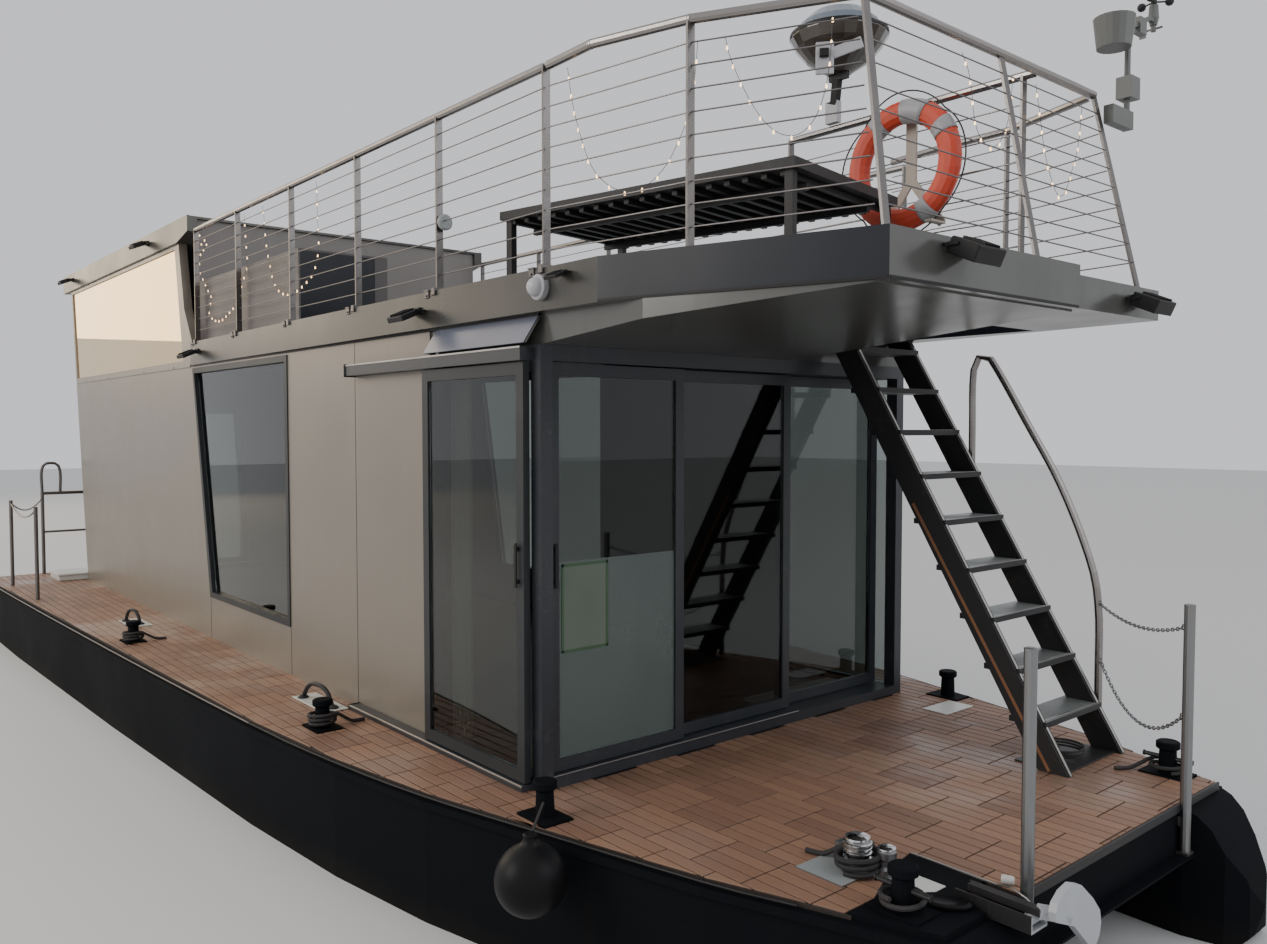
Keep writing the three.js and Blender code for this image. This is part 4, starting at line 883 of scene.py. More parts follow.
class MakeDeckTiles(bpy.types.Operator):
    """Square slatted tiles in a brick pattern over the whole deck"""

    bl_idname = "houseboat.deck_tiles"
    bl_label = "Deck tiles"

    def execute(self, context):
        sizes = context.scene.houseboat_sizes
        tile, depth = sizes.tile, sizes.groove_depth
        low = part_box("deck_planks")[0].z
        deck = tidy_mesh(node_copy("deck_planks"), SAME)
        edit(deck)
        pick(deck, lambda f: not (f.normal.z < -0.9 and f.calc_center_median().z < low + 0.001))
        bpy.ops.mesh.delete(type="FACE")
        bpy.ops.mesh.select_all(action="SELECT")
        bpy.ops.mesh.flip_normals()
        bpy.ops.mesh.dissolve_limited(angle_limit=FLAT_ANGLE)
        leave_edit()
        place(deck, Matrix.Translation((0, 0, DECK_Z - depth - low)))
        self.cut_lines(deck, tile)
        apply_modifier(deck, "SOLIDIFY", thickness=DECK_Z - depth - low, offset=-1.0)
        edit(deck)
        level = DECK_Z - depth - 0.001
        pick(deck, lambda f: f.normal.z > 0.9 and f.calc_center_median().z > level
             and not inside_cabin(*f.calc_center_median().xy)
             and f.calc_area() > LEAST_SLAT * max(e.calc_length() for e in f.edges))
        bpy.ops.mesh.inset(thickness=sizes.groove / 2, depth=0.0, use_individual=True)
        bpy.ops.mesh.inset(thickness=0.0008, depth=depth - 0.001, use_individual=True)
        bpy.ops.mesh.inset(thickness=0.0015, depth=0.001, use_individual=True)
        leave_edit()
        tones = deck.data.attributes.new("tone", "FLOAT", "FACE")
        for face, tone in zip(deck.data.polygons, tones.data):
            column, row, slat = tile_cell(face.center.x, face.center.y, tile)
            of_tile = random.Random(column * 7919 + row).random()
            of_slat = random.Random(slat * 104729 + row * 31 + column).random()
            tone.value = 0.6 * of_tile + 0.4 * of_slat
        settle(deck, "deck_tiles", "tile")
        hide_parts("deck_planks")
        return {"FINISHED"}

    def cut_lines(self, deck, tile):
        """Bisects the sheet along every slat and every cross joint of each column."""
        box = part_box("deck_planks")
        slat = tile / SLATS
        first = math.floor(box[0].y / slat)
        last = math.ceil(box[1].y / slat)
        edit(deck)
        for i in range(first, last + 1):
            bpy.ops.mesh.select_all(action="SELECT")
            bpy.ops.mesh.bisect(plane_co=(0, i * slat, 0), plane_no=(0, 1, 0))
        for odd, start in ((0, EVEN_JOINT_X), (1, ODD_JOINT_X)):
            rows = range(math.floor((box[0].x - start) / tile), math.ceil((box[1].x - start) / tile) + 1)
            for k in rows:
                pick(deck, lambda f: math.floor(f.calc_center_median().y / tile) % 2 == odd)
                bpy.ops.mesh.bisect(plane_co=(start + k * tile, 0, 0), plane_no=(1, 0, 0))
        bpy.ops.mesh.select_mode(type="EDGE")

        def on_joint(edge):
            a, b = (v.co for v in edge.verts)
            if abs(a.y - b.y) < SAME and abs(a.y / slat - round(a.y / slat)) < ON_LINE:
                return True
            if abs(a.x - b.x) > SAME:
                return False
            middle = (a.y + b.y) / 2
            start = EVEN_JOINT_X if math.floor(middle / tile) % 2 == 0 else ODD_JOINT_X
            steps = (a.x - start) / tile
            return abs(steps - round(steps)) < ON_LINE

        pick(deck, on_joint, "edges")
        bpy.ops.mesh.mark_seam(clear=False)
        bpy.ops.mesh.select_mode(type="FACE")
        bpy.ops.mesh.select_all(action="SELECT")
        bpy.ops.mesh.dissolve_limited(angle_limit=FLAT_ANGLE, delimit={"SEAM"})
        bpy.ops.mesh.remove_doubles(threshold=0.004)
        leave_edit()


# Strings of small bulbs inside the terrace railing: along its side, round its corner, along its front
LIGHT_Y, LIGHT_X = -1.370, 5.515
STRING_AFT = (
    (-0.905, 4.435), (-0.985, 4.42), (-0.975, 4.37), (-0.90, 4.35), (-0.80, 4.375), (-0.77, 4.335),
    (-0.84, 4.30), (-0.945, 4.26), (-0.965, 4.19), (-0.94, 4.11), (-0.86, 4.04), (-0.79, 3.98),
    (-0.72, 3.92), (-0.665, 3.87), (-0.72, 3.82), (-0.735, 3.77), (-0.66, 3.71), (-0.54, 3.68),
    (-0.42, 3.68), (-0.30, 3.71), (-0.18, 3.745), (-0.07, 3.79), (0.0, 3.85), (0.04, 3.92), (0.12, 3.99),
    (0.16, 4.06), (0.15, 4.14), (0.135, 4.24), (0.12, 4.34), (0.11, 4.43),
)
STRING_SECOND = (
    (0.49, 4.43), (0.515, 4.33), (0.535, 4.22), (0.56, 4.12), (0.60, 4.03), (0.635, 3.95), (0.67, 3.88),
    (0.73, 3.82), (0.81, 3.775), (0.90, 3.752), (1.02, 3.738), (1.14, 3.762), (1.25, 3.79), (1.35, 3.825),
    (1.41, 3.87), (1.45, 3.93), (1.475, 4.0), (1.475, 4.08), (1.465, 4.18), (1.46, 4.30), (1.455, 4.43),
)
STRING_BOW = (
    (4.24, -1.372, 4.43), (4.262, -1.372, 4.32), (4.29, -1.372, 4.22), (4.325, -1.372, 4.13),
    (4.36, -1.372, 4.05), (4.40, -1.368, 3.97), (4.45, -1.352, 3.90), (4.52, -1.325, 3.845),
    (4.60, -1.29, 3.825), (4.68, -1.255, 3.855), (4.745, -1.225, 3.92), (4.79, -1.205, 4.0),
    (4.825, -1.19, 4.08), (4.85, -1.178, 4.18), (4.865, -1.17, 4.29), (4.875, -1.165, 4.42),
)
STRING_CORNER = (
    (4.985, -1.115, 4.42), (5.005, -1.105, 4.33), (5.05, -1.085, 4.215), (5.10, -1.06, 4.11),
    (5.155, -1.035, 4.03), (5.215, -1.01, 3.985), (5.28, -0.985, 3.98), (5.335, -0.962, 4.03),
    (5.37, -0.947, 4.12), (5.39, -0.938, 4.24), (5.40, -0.933, 4.42),
)
STRING_FRONT = (
    (-0.20, 4.42), (-0.15, 4.36), (-0.118, 4.27), (-0.10, 4.18), (-0.06, 4.10), (0.02, 4.06),
    (0.10, 4.08), (0.16, 4.15), (0.20, 4.25), (0.225, 4.42),
)
STRING_PORT_FRONT = (
    (0.43, 4.42), (0.48, 4.26), (0.52, 4.13), (0.58, 4.02), (0.65, 3.94), (0.72, 3.95), (0.78, 4.05),
    (0.84, 4.17), (0.87, 4.29), (0.885, 4.42),
)
LIGHT_STRINGS = {
    "lights_aft": [(x, LIGHT_Y, z) for x, z in STRING_AFT],
    "lights_second": [(x, LIGHT_Y, z) for x, z in STRING_SECOND],
    "lights_bow": STRING_BOW,
    "lights_corner": STRING_CORNER,
    "lights_front": [(LIGHT_X, y, z) for y, z in STRING_FRONT],
    "lights_port_front": [(LIGHT_X, y, z) for y, z in STRING_PORT_FRONT],
}
LIGHT_WIRE = 0.003
BULB_EVERY = 0.085


class MakeLightStrings(bpy.types.Operator):
    """Strings of small warm bulbs that hang in swags from the terrace railing"""

    bl_idname = "houseboat.light_strings"
    bl_label = "Light strings"

    def execute(self, context):
        for name, points in LIGHT_STRINGS.items():
            line = rounded(points)
            bulbs = settle(self.bulbs(line), name + "_bulbs", "bulb")
            free_cord(name, line, LIGHT_WIRE, "wire_dark")
        return {"FINISHED"}

    def bulbs(self, line):
        """Small drops below the wire, at even steps along it."""
        bulb = turned([(0, -0.019), (0.004, -0.017), (0.0048, -0.012), (0.0036, -0.006), (0.0026, -0.001),
                       (0, -0.001)], 8)
        spots, gone = [], BULB_EVERY / 2
        for a, b in zip(line, line[1:]):
            step = (Vector(b) - Vector(a)).length
            while gone < step:
                spots.append(Vector(a).lerp(Vector(b), gone / step))
                gone += BULB_EVERY
            gone -= step
        return copies(bulb, [Matrix.Translation(spot) for spot in spots])


# Half the deck's width along the boat
DECK_HALVES = ((-5.85, 2.325), (-4.0, 2.29), (-0.7, 2.18), (2.0, 2.06), (3.0, 1.975), (3.75, 1.86),
               (4.46, 1.69), (5.26, 1.49), (5.62, 1.365))
# Forward of this the line along the deck's edge is painted dark, as painted shade
DARK_EDGE_X = 2.2
WALL_JOINTS = ((2.13, 1.075, 3.32), (1.072, 1.075, 1.405), (-0.625, 1.075, 1.405))
FASCIA_JOINT_X = 4.572
# The fascia turns in towards the bow here, and ends at its front corner there
FASCIA_TURN, FASCIA_CORNER = Vector((4.6, -1.485, 0)), Vector((5.806, -1.1165, 0))
# The frieze board: its two ends along X, and (y, z) of its top and foot
FRIEZE_X, FRIEZE_TOP, FRIEZE_LOW, FRIEZE_SLANT = (3.15, 4.10), (-1.436, 3.318), (-1.497, 3.193), 0.035


class MakeWallTrim(bpy.types.Operator):
    """Panel joints, shadow gaps, the ledge under the upper window and the frieze over the side door"""

    bl_idname = "houseboat.wall_trim"
    bl_label = "Wall trim"

    def execute(self, context):
        joint = context.scene.houseboat_sizes.joint
        proud, sunk = -WALL_Y - 0.011, -WALL_Y + 0.003
        lines = [block((x - joint / 2, -WALL_Y - 0.0006, low), (x + joint / 2, sunk, high), 0)
                 for x, low, high in WALL_JOINTS]
        # Under the terrace's fascia and under the roof's edge: dark strips as painted shadow of the
        # overhangs.
        lines.append(block((-1.0, proud, 3.321), (FRIEZE_X[1], sunk, TERRACE_LOW - 0.0006), 0))
        lines.append(block((-5.7, proud, ROOF_LOW - 0.010), (-1.35, sunk, ROOF_LOW - 0.0006), 0))
        settle(mirrored_copy(joined(lines)), "wall_joints", "trim_dark")
        ledge = block((-5.22, -WALL_Y - 0.008, 3.318), (-1.045, -WALL_Y + 0.002, 3.346), 0.002)
        settle(mirrored_copy(ledge), "upper_window_ledge", "panel")
        stud = turned([(0, 0), (0.007, 0), (0.007, 0.003), (0, 0.005)], 10, at(0, 0, 0, turn_x=90))
        spots = [Matrix.Translation((x, -WALL_Y - 0.0075, 3.332)) for x in (-4.75, -3.76, -2.43, -1.5)]
        settle(mirrored_copy(copies(stud, spots)), "ledge_screws", "trim_dark")
        self.fascia()
        self.frieze()
        self.door_rails()
        return {"FINISHED"}

    def fascia(self):
        """A thin dark edge along the foot of the fascia as painted shade, its joint, and the line along the
        deck's edge.
        """
        # The lip, the bow piece and the front piece are a dark line of painted shade at the fascia's foot.
        lip = block((FRIEZE_X[1], -FASCIA_Y - 0.0016, TERRACE_LOW),
                    (FASCIA_TURN.x, -FASCIA_Y + 0.006, TERRACE_LOW + 0.010), 0)
        along = FASCIA_CORNER - FASCIA_TURN
        bow = block((0, -0.003, 0), (along.length, 0.003, 0.012), 0)
        place(bow, at(*FASCIA_TURN.xy, TERRACE_LOW, turn_z=math.degrees(math.atan2(along.y, along.x))))
        front = block((5.808, -1.11, TERRACE_LOW), (5.8125, 0.29, TERRACE_LOW + 0.012), 0)
        joint = block((FASCIA_JOINT_X - 0.0015, -1.4842, TERRACE_LOW + 0.002),
                      (FASCIA_JOINT_X + 0.0015, -1.47, TERRACE_TOP - 0.0005), 0)
        settle(joined([lip, bow, front, joint]), "fascia_edge", "trim_dark")
        line = [(x, -half - 0.004, 1.059) for x, half in DECK_HALVES]
        edge = settle(mirrored_copy(swept(rounded(line, 3), 0.0055, 6)), "deck_edge", "wire")
        # Forward of DARK_EDGE_X the line takes a near-black finish: painted shade.
        part_finishes(edge, ("trim_dark",),
                      lambda centre, normal, rise: 0 if centre.x > DARK_EDGE_X else None)

    def frieze(self):
        """The pale blue board over the side door, its blue a painted sky reflection: its foot stands out over
        the door's rail, its ends lean.
        """
        (x0, x1), (top_y, top_z), (low_y, low_z) = FRIEZE_X, FRIEZE_TOP, FRIEZE_LOW
        lean = math.degrees(math.atan2(top_y - low_y, top_z - low_z))
        height = math.hypot(top_y - low_y, top_z - low_z)
        foot0, foot1 = x0 - FRIEZE_SLANT, x1 - FRIEZE_SLANT
        board = outline([(foot0, 0), (foot1, 0), (x1, height), (x0, height)], 0.006, 0.001,
                        at(0, low_y, low_z, turn_x=90 - lean))
        settle(board, "frieze_board", "frieze")
        # Dark sheets at the board's front end and in the wedge behind its aft end: painted shade.
        gap = outline([(foot1, 0), (foot1 + 0.02, 0), (x1 + 0.02, height), (x1, height)], 0.004, 0,
                      at(0, low_y + 0.001, low_z, turn_x=90 - lean))
        ends = outline([(low_y + 0.004, low_z), (-WALL_Y, low_z), (-WALL_Y, top_z)], 0.004, 0,
                       at(foot0 + 0.006, 0, 0, turn_z=90, turn_x=90))
        settle(joined([gap, ends]), "frieze_joint", "trim_dark")

    def door_rails(self):
        """End caps on the rails of the side door, and bright edges on them and on the front sill."""
        start, end = 2.16, 4.04
        cap = block((start - 0.014, -1.512, 3.108), (start - 0.0005, -1.431, 3.186), 0.003)
        foot = block((start - 0.012, -1.508, 1.071), (start - 0.0005, -1.431, 1.104), 0.002)
        settle(joined([cap, foot]), "door_rail_caps", "trim_dark")
        upper = block((start, -1.5075, 3.172), (end, -1.4985, 3.1815), 0.001)
        lower = block((start, -1.5075, 1.092), (end, -1.4985, 1.1015), 0.001)
        sill = block((4.098, -1.36, 1.128), (4.103, 0.42, 1.133), 0.001)
        settle(joined([upper, lower, sill]), "rail_edges", "edge")


def edge_y(x):
    """Half the terrace's width at x, out to the face of its edge."""
    return 1.445 + 0.040 * (x + 1.0) / 5.6


# Flood lamps on the terrace edge: x, z and scale. Those on the roof's edge: x
FLOOD_SPOTS = ((-0.80, 3.44, 1.0), (3.02, 3.43, 1.0), (4.36, 3.485, 0.55))
ROOF_FLOODS = (-5.25, -2.2)
DOME_X = 4.19


class MakeOutsideLamps(bpy.types.Operator):
    """Flood lamps on the fascias, the dome camera and the round lamp on a post"""

    bl_idname = "houseboat.outside_lamps"
    bl_label = "Outside lamps"

    def execute(self, context):
        flat = self.flood(0.17, 0.125)
        spots = [at(x, -edge_y(x) - 0.0005, z, turn_z=180) @ Matrix.Scale(scale, 4)
                 for x, z, scale in FLOOD_SPOTS]
        spots += [at(x, -1.4455, 4.52, turn_z=180) for x in ROOF_FLOODS]
        settle(mirrored_copy(copies(flat, spots)), "flood_lamps", "trim_dark")
        bow = self.flood(0.19, 0.13, 0.034)
        fronts = [at(5.814, -0.70, 3.49, turn_z=-90), at(5.814, 0.83, 3.415, turn_z=-90)]
        settle(copies(bow, fronts), "bow_flood_lamps", "trim_dark")
        self.camera_dome()
        disc = turned([(0, 0), (0.036, 0), (0.043, 0.006), (0.043, 0.020), (0.036, 0.028), (0, 0.028)], 24)
        place(disc, at(3.142, -1.385, 3.90, turn_y=90))
        settle(disc, "post_lamp", "grey")
        return {"FINISHED"}

    def flood(self, wide, deep, half=0.016):
        """A flat lamp on a forked bracket; the wall is at y 0 and the lamp reaches towards +Y."""
        foot = block((-0.03, 0, -0.02), (0.03, 0.012, 0.02), 0.002)
        fork = [block((x - 0.004, 0.006, -0.012), (x + 0.004, 0.075, 0.0), 0.001)
                for x in (-wide / 2 - 0.006, wide / 2 + 0.006)]
        bridge = block((-wide / 2 - 0.01, 0.006, -0.012), (wide / 2 + 0.01, 0.014, 0.002), 0.001)
        head = block((-wide / 2, 0.03, -half), (wide / 2, 0.03 + deep, half), 0.006, 2)
        edit(head)
        pick(head, lambda f: f.normal.z < -0.9)
        bpy.ops.mesh.inset(thickness=0.008, depth=-0.003)
        leave_edit()
        fins = [block((x - 0.002, 0.05, half - 0.002), (x + 0.002, 0.02 + deep, half + 0.010), 0.0005)
                for x in (-0.05, -0.03, -0.01, 0.01, 0.03, 0.05)]
        lamp = joined([head, *fins])
        place(lamp, at(0, 0.02, 0, turn_x=-24) @ Matrix.Translation((0, -0.02, 0)))
        return joined([foot, bridge, *fork, lamp])

    def camera_dome(self):
        """A round base on the fascia with a half ball on it."""
        base = [(0, 0), (0.056, 0), (0.058, 0.004), (0.058, 0.030), (0.050, 0.036), (0, 0.036)]
        arc = [i * math.pi / 14 for i in range(7)]
        bowl = [(0, 0.036), *((0.045 * math.cos(a), 0.036 + 0.040 * math.sin(a)) for a in arc), (0, 0.076)]
        for name, profile, steps in (("camera_base", base, 28), ("camera_bowl", bowl, 24)):
            part = place(turned(profile, steps), at(DOME_X, -edge_y(DOME_X), 3.435, turn_x=90))
            settle(part, name, "lamp_pale")


class MakeRailingFeet(bpy.types.Operator):
    """Brackets and bolts at the feet of the railing posts, with a small block beside each"""

    bl_idname = "houseboat.railing_feet"
    bl_label = "Railing feet"

    def execute(self, context):
        feet = []
        for x in SIDE_POST_X:
            edge = -edge_y(x) - 0.0005
            feet.append(block((x - 0.020, edge - 0.006, 3.490), (x + 0.020, edge, 3.532), 0.002))
            feet.append(block((x - 0.024, edge - 0.010, 3.5256), (x + 0.024, -1.412, 3.534), 0.001))
            feet.append(block((x + 0.060, edge - 0.012, 3.500), (x + 0.095, -1.405, 3.540), 0.003))
        settle(mirrored_copy(joined(feet)), "railing_feet", "steel")
        bolt = turned([(0, 0), (0.007, 0), (0.007, 0.004), (0.004, 0.006), (0, 0.006)], 6)
        place(bolt, at(0, 0, 0, turn_x=90))
        spots = [Matrix.Translation((x, -edge_y(x) - 0.0065, 3.503)) for x in SIDE_POST_X]
        settle(mirrored_copy(copies(bolt, spots)), "railing_bolts", "wire")
        return {"FINISHED"}


# The table stands turned by this many degrees
TABLE_AT, TABLE_TURN = (4.085, -0.445), 10.6
RING_AT, RING_MAJOR, RING_MINOR, RING_SQUASH = (4.87, 0.30, 4.14), 0.275, 0.060, 0.8
# Middle and half width of each band, in degrees round the ring
RING_BANDS = ((45, 7), (135, 7), (225, 7), (315, 7), (105, 15))
LAMP_AT = (4.42, 0.34)


class MakeTerraceGear(bpy.types.Operator):
    """Slats under the table, bands and grab line of the life ring, and the fittings of the dome lamp"""

    bl_idname = "houseboat.terrace_gear"
    bl_label = "Terrace gear"

    def execute(self, context):
        self.grab_lines()
        slat = block((-0.016, -0.485, 3.900), (0.016, 0.485, 3.9245), 0.002)
        slats = copies(slat, [Matrix.Translation((-0.84 + i * 0.0988, 0, 0)) for i in range(18)])
        runners = [block((-0.86, y - 0.014, 3.868), (0.86, y + 0.014, 3.8995), 0.002) for y in (-0.30, 0.30)]
        under = joined([slats, *runners])
        place(under, at(*TABLE_AT, 0, turn_z=TABLE_TURN))
        settle(under, "table_slats", "black")
        bands = [self.band(middle, half) for middle, half in RING_BANDS]
        settle(joined(bands), "ring_bands", "ring_band")
        rim = turned([(0.262, 4.926), (0.2665, 4.926), (0.2685, 4.936), (0.2665, 4.946), (0.255, 4.950),
                      (0.255, 4.93)], 40, Matrix.Translation((*LAMP_AT, 0)))
        settle(rim, "lamp_rim", "trim_dark")
        face = at(4.506, 0.118, 4.745, turn_z=-51.5)
        plate = block((-0.006, -0.050, -0.085), (0.006, 0.045, 0.085), 0.004)
        arm = block((-0.005, 0.04, -0.03), (0.005, 0.20, 0.03), 0.003)
        place(arm, at(0, 0, 0.01, turn_x=18))
        settle(place(joined([plate, arm]), face), "lamp_bracket", "lamp_pale")
        catch = block((0.008, -0.03, 0.0), (0.03, 0.02, 0.045), 0.004)
        settle(place(catch, face), "lamp_catch", "trim_dark")
        return {"FINISHED"}

    def band(self, middle, half):
        """A sleeve round the ring over a short arc; the ring stands in an upright plane along the boat."""
        r = RING_MINOR + 0.0015
        section = [(RING_MAJOR + r * math.cos(i * math.pi / 8), r * math.sin(i * math.pi / 8))
                   for i in range(17)]
        sleeve = turned(section, 5, angle=2 * half)
        apply_modifier(sleeve, "SOLIDIFY", thickness=0.0012, offset=1.0)
        place(sleeve, at(0, 0, 0, turn_z=middle - half))
        place(sleeve, Matrix.Scale(RING_SQUASH + 0.01, 4, (0, 0, 1)))
        return tidy_mesh(place(sleeve, at(*RING_AT, turn_x=90)))

    def grab_lines(self):
        """Four slack lines round the ring, each held at two bands."""
        for number, start in enumerate((45, 135, 225, 315), 1):
            line = []
            for i in range(19):
                t = i / 18
                angle = math.radians(start + 90 * t)
                radius = RING_MAJOR + RING_MINOR + 0.008 + 0.030 * math.sin(math.pi * t)
                line.append((RING_AT[0] + radius * math.cos(angle), RING_AT[1] - 0.02 * math.sin(math.pi * t),
                             RING_AT[2] + radius * math.sin(angle)))
            free_cord(f"grab_line_{number}", line, 0.008, "rope")


STAIR_FOOT_X, STAIR_SLOPE, STAIR_RISE = 5.615, 0.6, 0.2455


class MakeStairTrim(bpy.types.Operator):
    """Bright edges of the stair's strings, a copper strip, the plate at its foot and the tread noses"""

    bl_idname = "houseboat.stair_trim"
    bl_label = "Stair trim"

    def execute(self, context):
        low, high, foot = 1.074, 3.30, STAIR_FOOT_X + 0.0015
        edges = [strip((foot, y, low), (foot - STAIR_SLOPE * (high - low), y, high), 0.003, 0.016, 0.0005)
                 for y in (0.6945, 1.2695)]
        settle(joined(edges), "stair_edges", "edge")
        settle(strip((4.700, 0.6695, 2.380), (5.515, 0.6695, 1.078), 0.017, 0.003), "stair_strip", "copper")
        settle(block((5.30, 0.7175, 1.0712), (5.585, 1.2465, 1.0780), 0.002), "stair_foot_plate", "black")
        noses = []
        for i in range(1, 9):
            z = DECK_Z + STAIR_RISE * i
            x = STAIR_FOOT_X - STAIR_SLOPE * (z - 0.015 - DECK_Z) - 0.004
            noses.append(block((x - 0.020, 0.7175, z - 0.032), (x - 0.001, 1.2465, z + 0.001), 0.002))
        settle(joined(noses), "tread_noses", "edge")
        return {"FINISHED"}


# The arch of a cleat: share of its length, and height
ARCH = ((0, 0), (0.14, 0.07), (0.30, 0.105), (0.5, 0.113), (0.70, 0.105), (0.86, 0.07), (1, 0))
# The fender's middle and radius, its neck as (radius, height), and where its line meets the bollard
FENDER_AT, FENDER_R = (4.63, -1.86, 0.96), 0.150
FENDER_NECK = ((0.052, 0.143), (0.038, 0.155), (0.031, 0.168), (0.030, 0.180), (0.032, 0.186), (0.026, 0.191),
               (0, 0.191))
FENDER_LINE_AT = (GLAZING_X + 0.287, -1.626, DECK_Z + 0.080)
# Name, centre, height, radius, turns, thickness, and the loose end's heading in degrees, or none
COILS = (
    ("rope_bow", 5.60, -0.990, 1.086, 0.082, 2.6, 0.022, 215),
    ("rope_bow_port", 5.9, 1.12, 1.093, 0.078, 1.6, 0.020, 250),
    ("rope_bow_starboard", 5.9, -1.12, 1.093, 0.078, 1.6, 0.020, None),
    ("rope_aft", -0.9, -1.96, 1.093, 0.074, 2.3, 0.020, 100),
    ("rope_side", 2.4, -1.78, 1.093, 0.074, 2.7, 0.020, 115),
    ("rope_port", 2.4, 1.78, 1.093, 0.074, 2.2, 0.020, 260),
    ("stair_cable", 5.43, 0.975, 1.087, 0.105, 3.4, 0.012, None),
)


class MakeMooringGear(bpy.types.Operator):
    """Coils of rope and cable, white deck plates, arched cleats, a deck box and the fender"""

    bl_idname = "houseboat.mooring_gear"
    bl_label = "Mooring gear"

    def execute(self, context):
        for name, x, y, z, radius, turns, thick, heading in COILS:
            steps = int(turns * 20)
            start = math.radians((heading or 0) - 90) - 2 * math.pi * turns
            line = []
            for i in range(steps + 1):
                angle = start + 2 * math.pi * turns * i / steps
                reach = radius + 0.003 * math.sin(angle * 2.3)
                line.append((x + reach * math.cos(angle), y + reach * math.sin(angle),
                             z + (thick + 0.003) * turns * i / steps))
            if heading is not None:
                line += self.loose_end(Vector(line[-1]), math.radians(heading), DECK_Z + thick / 2 + 0.001)
            free_cord(name, line, thick, "rope", sides=8)
        plates = [block((-1.92, -1.83, ON_DECK), (-1.50, -1.65, 1.0765), 0.002),
                  block((1.65, -1.66, ON_DECK), (2.14, -1.50, 1.0765), 0.002)]
        settle(mirrored_copy(joined(plates)), "deck_plates", "white")
        port = [block((4.43, 1.19, ON_DECK), (4.60, 1.48, 1.0765), 0.002),
                block((5.73, -0.97, ON_DECK), (5.90, -0.845, 1.0745), 0.001)]
        settle(joined(port), "bow_plates", "white")
        arches = []
        for a, b in (((-1.83, -1.79), (-1.59, -1.73)), ((1.72, -1.615), (2.08, -1.575))):
            a, b = Vector((*a, 1.078)), Vector((*b, 1.078))
            up = Vector((0, 0, 1))
            points = [a.lerp(b, share) + up * height for share, height in ARCH]
            arches.append(swept(rounded(points), 0.014, 10))
            arches += [turned([(0, 0), (0.034, 0), (0.034, 0.008), (0.018, 0.018), (0, 0.018)], 14,
                              Matrix.Translation(foot - up * 0.001)) for foot in (a, b)]
        settle(mirrored_copy(joined(arches)), "arched_cleats", "black")
        box = block((-5.40, -1.72, ON_DECK), (-4.95, -1.38, 1.130), 0.008, 2)
        lid = block((-5.41, -1.73, 1.128), (-4.94, -1.37, 1.150), 0.006, 2)
        settle(joined([box, lid]), "deck_box", "white")
        self.fender()
        return {"FINISHED"}

    def fender(self):
        """A smooth ball fender with its neck, in place of the plain node, and its line to the bollard."""
        angles = [math.radians(7.5 * i - 90) for i in range(21)]
        profile = [(FENDER_R * math.cos(a), FENDER_R * math.sin(a)) for a in angles]
        ball = turned([*profile, *FENDER_NECK], 40, Matrix.Translation(FENDER_AT))
        settle(ball, "fender_ball", "rubber")
        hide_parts("ball_fender")
        start, end = Vector(FENDER_LINE_AT), Vector(FENDER_AT) + Vector((-0.02, 0.02, 0.183))
        line = [start.lerp(end, i / 16) for i in range(17)]
        free_cord("fender_line", line, 0.012, "rope", sides=8)

    def loose_end(self, last, heading, floor):
        """The end of a coil: it comes down to the deck and lies there."""
        ahead = Vector((math.cos(heading), math.sin(heading), 0))
        out = Vector((ahead.y, -ahead.x, 0))
        drop = last.z - floor
        points = [last]
        for along, aside, height in ((0.045, 0.0, 0.88), (0.085, 0.010, 0.5), (0.13, 0.022, 0.10),
                                     (0.165, 0.034, 0.0), (0.21, 0.052, 0.0)):
            spot = last + ahead * along + out * aside
            points.append(Vector((spot.x, spot.y, floor + drop * height)))
        return [(p.x, p.y, max(p.z, floor)) for p in rounded(points)[1:]]


# The windlass: rope drum and chain wheel
DRUM_AT, WHEEL_AT = (5.600, -0.990), (5.690, -0.925)
# Each chain: its place on the post, its place on the stair's handrail, and its sag
CHAINS = (((6.121, 0.712, 1.890), (5.447, 1.330, 1.843), 0.060),
          ((6.121, 0.712, 1.480), (5.458, 1.330, 1.527), 0.175))
CHAIN_EYES = ((6.119, 0.714, 1.892), (6.119, 0.714, 1.482), (5.449, 1.328, 1.845), (5.460, 1.328, 1.529))
CHAIN_STEPS, CHAIN_PITCH = 60, 0.0245


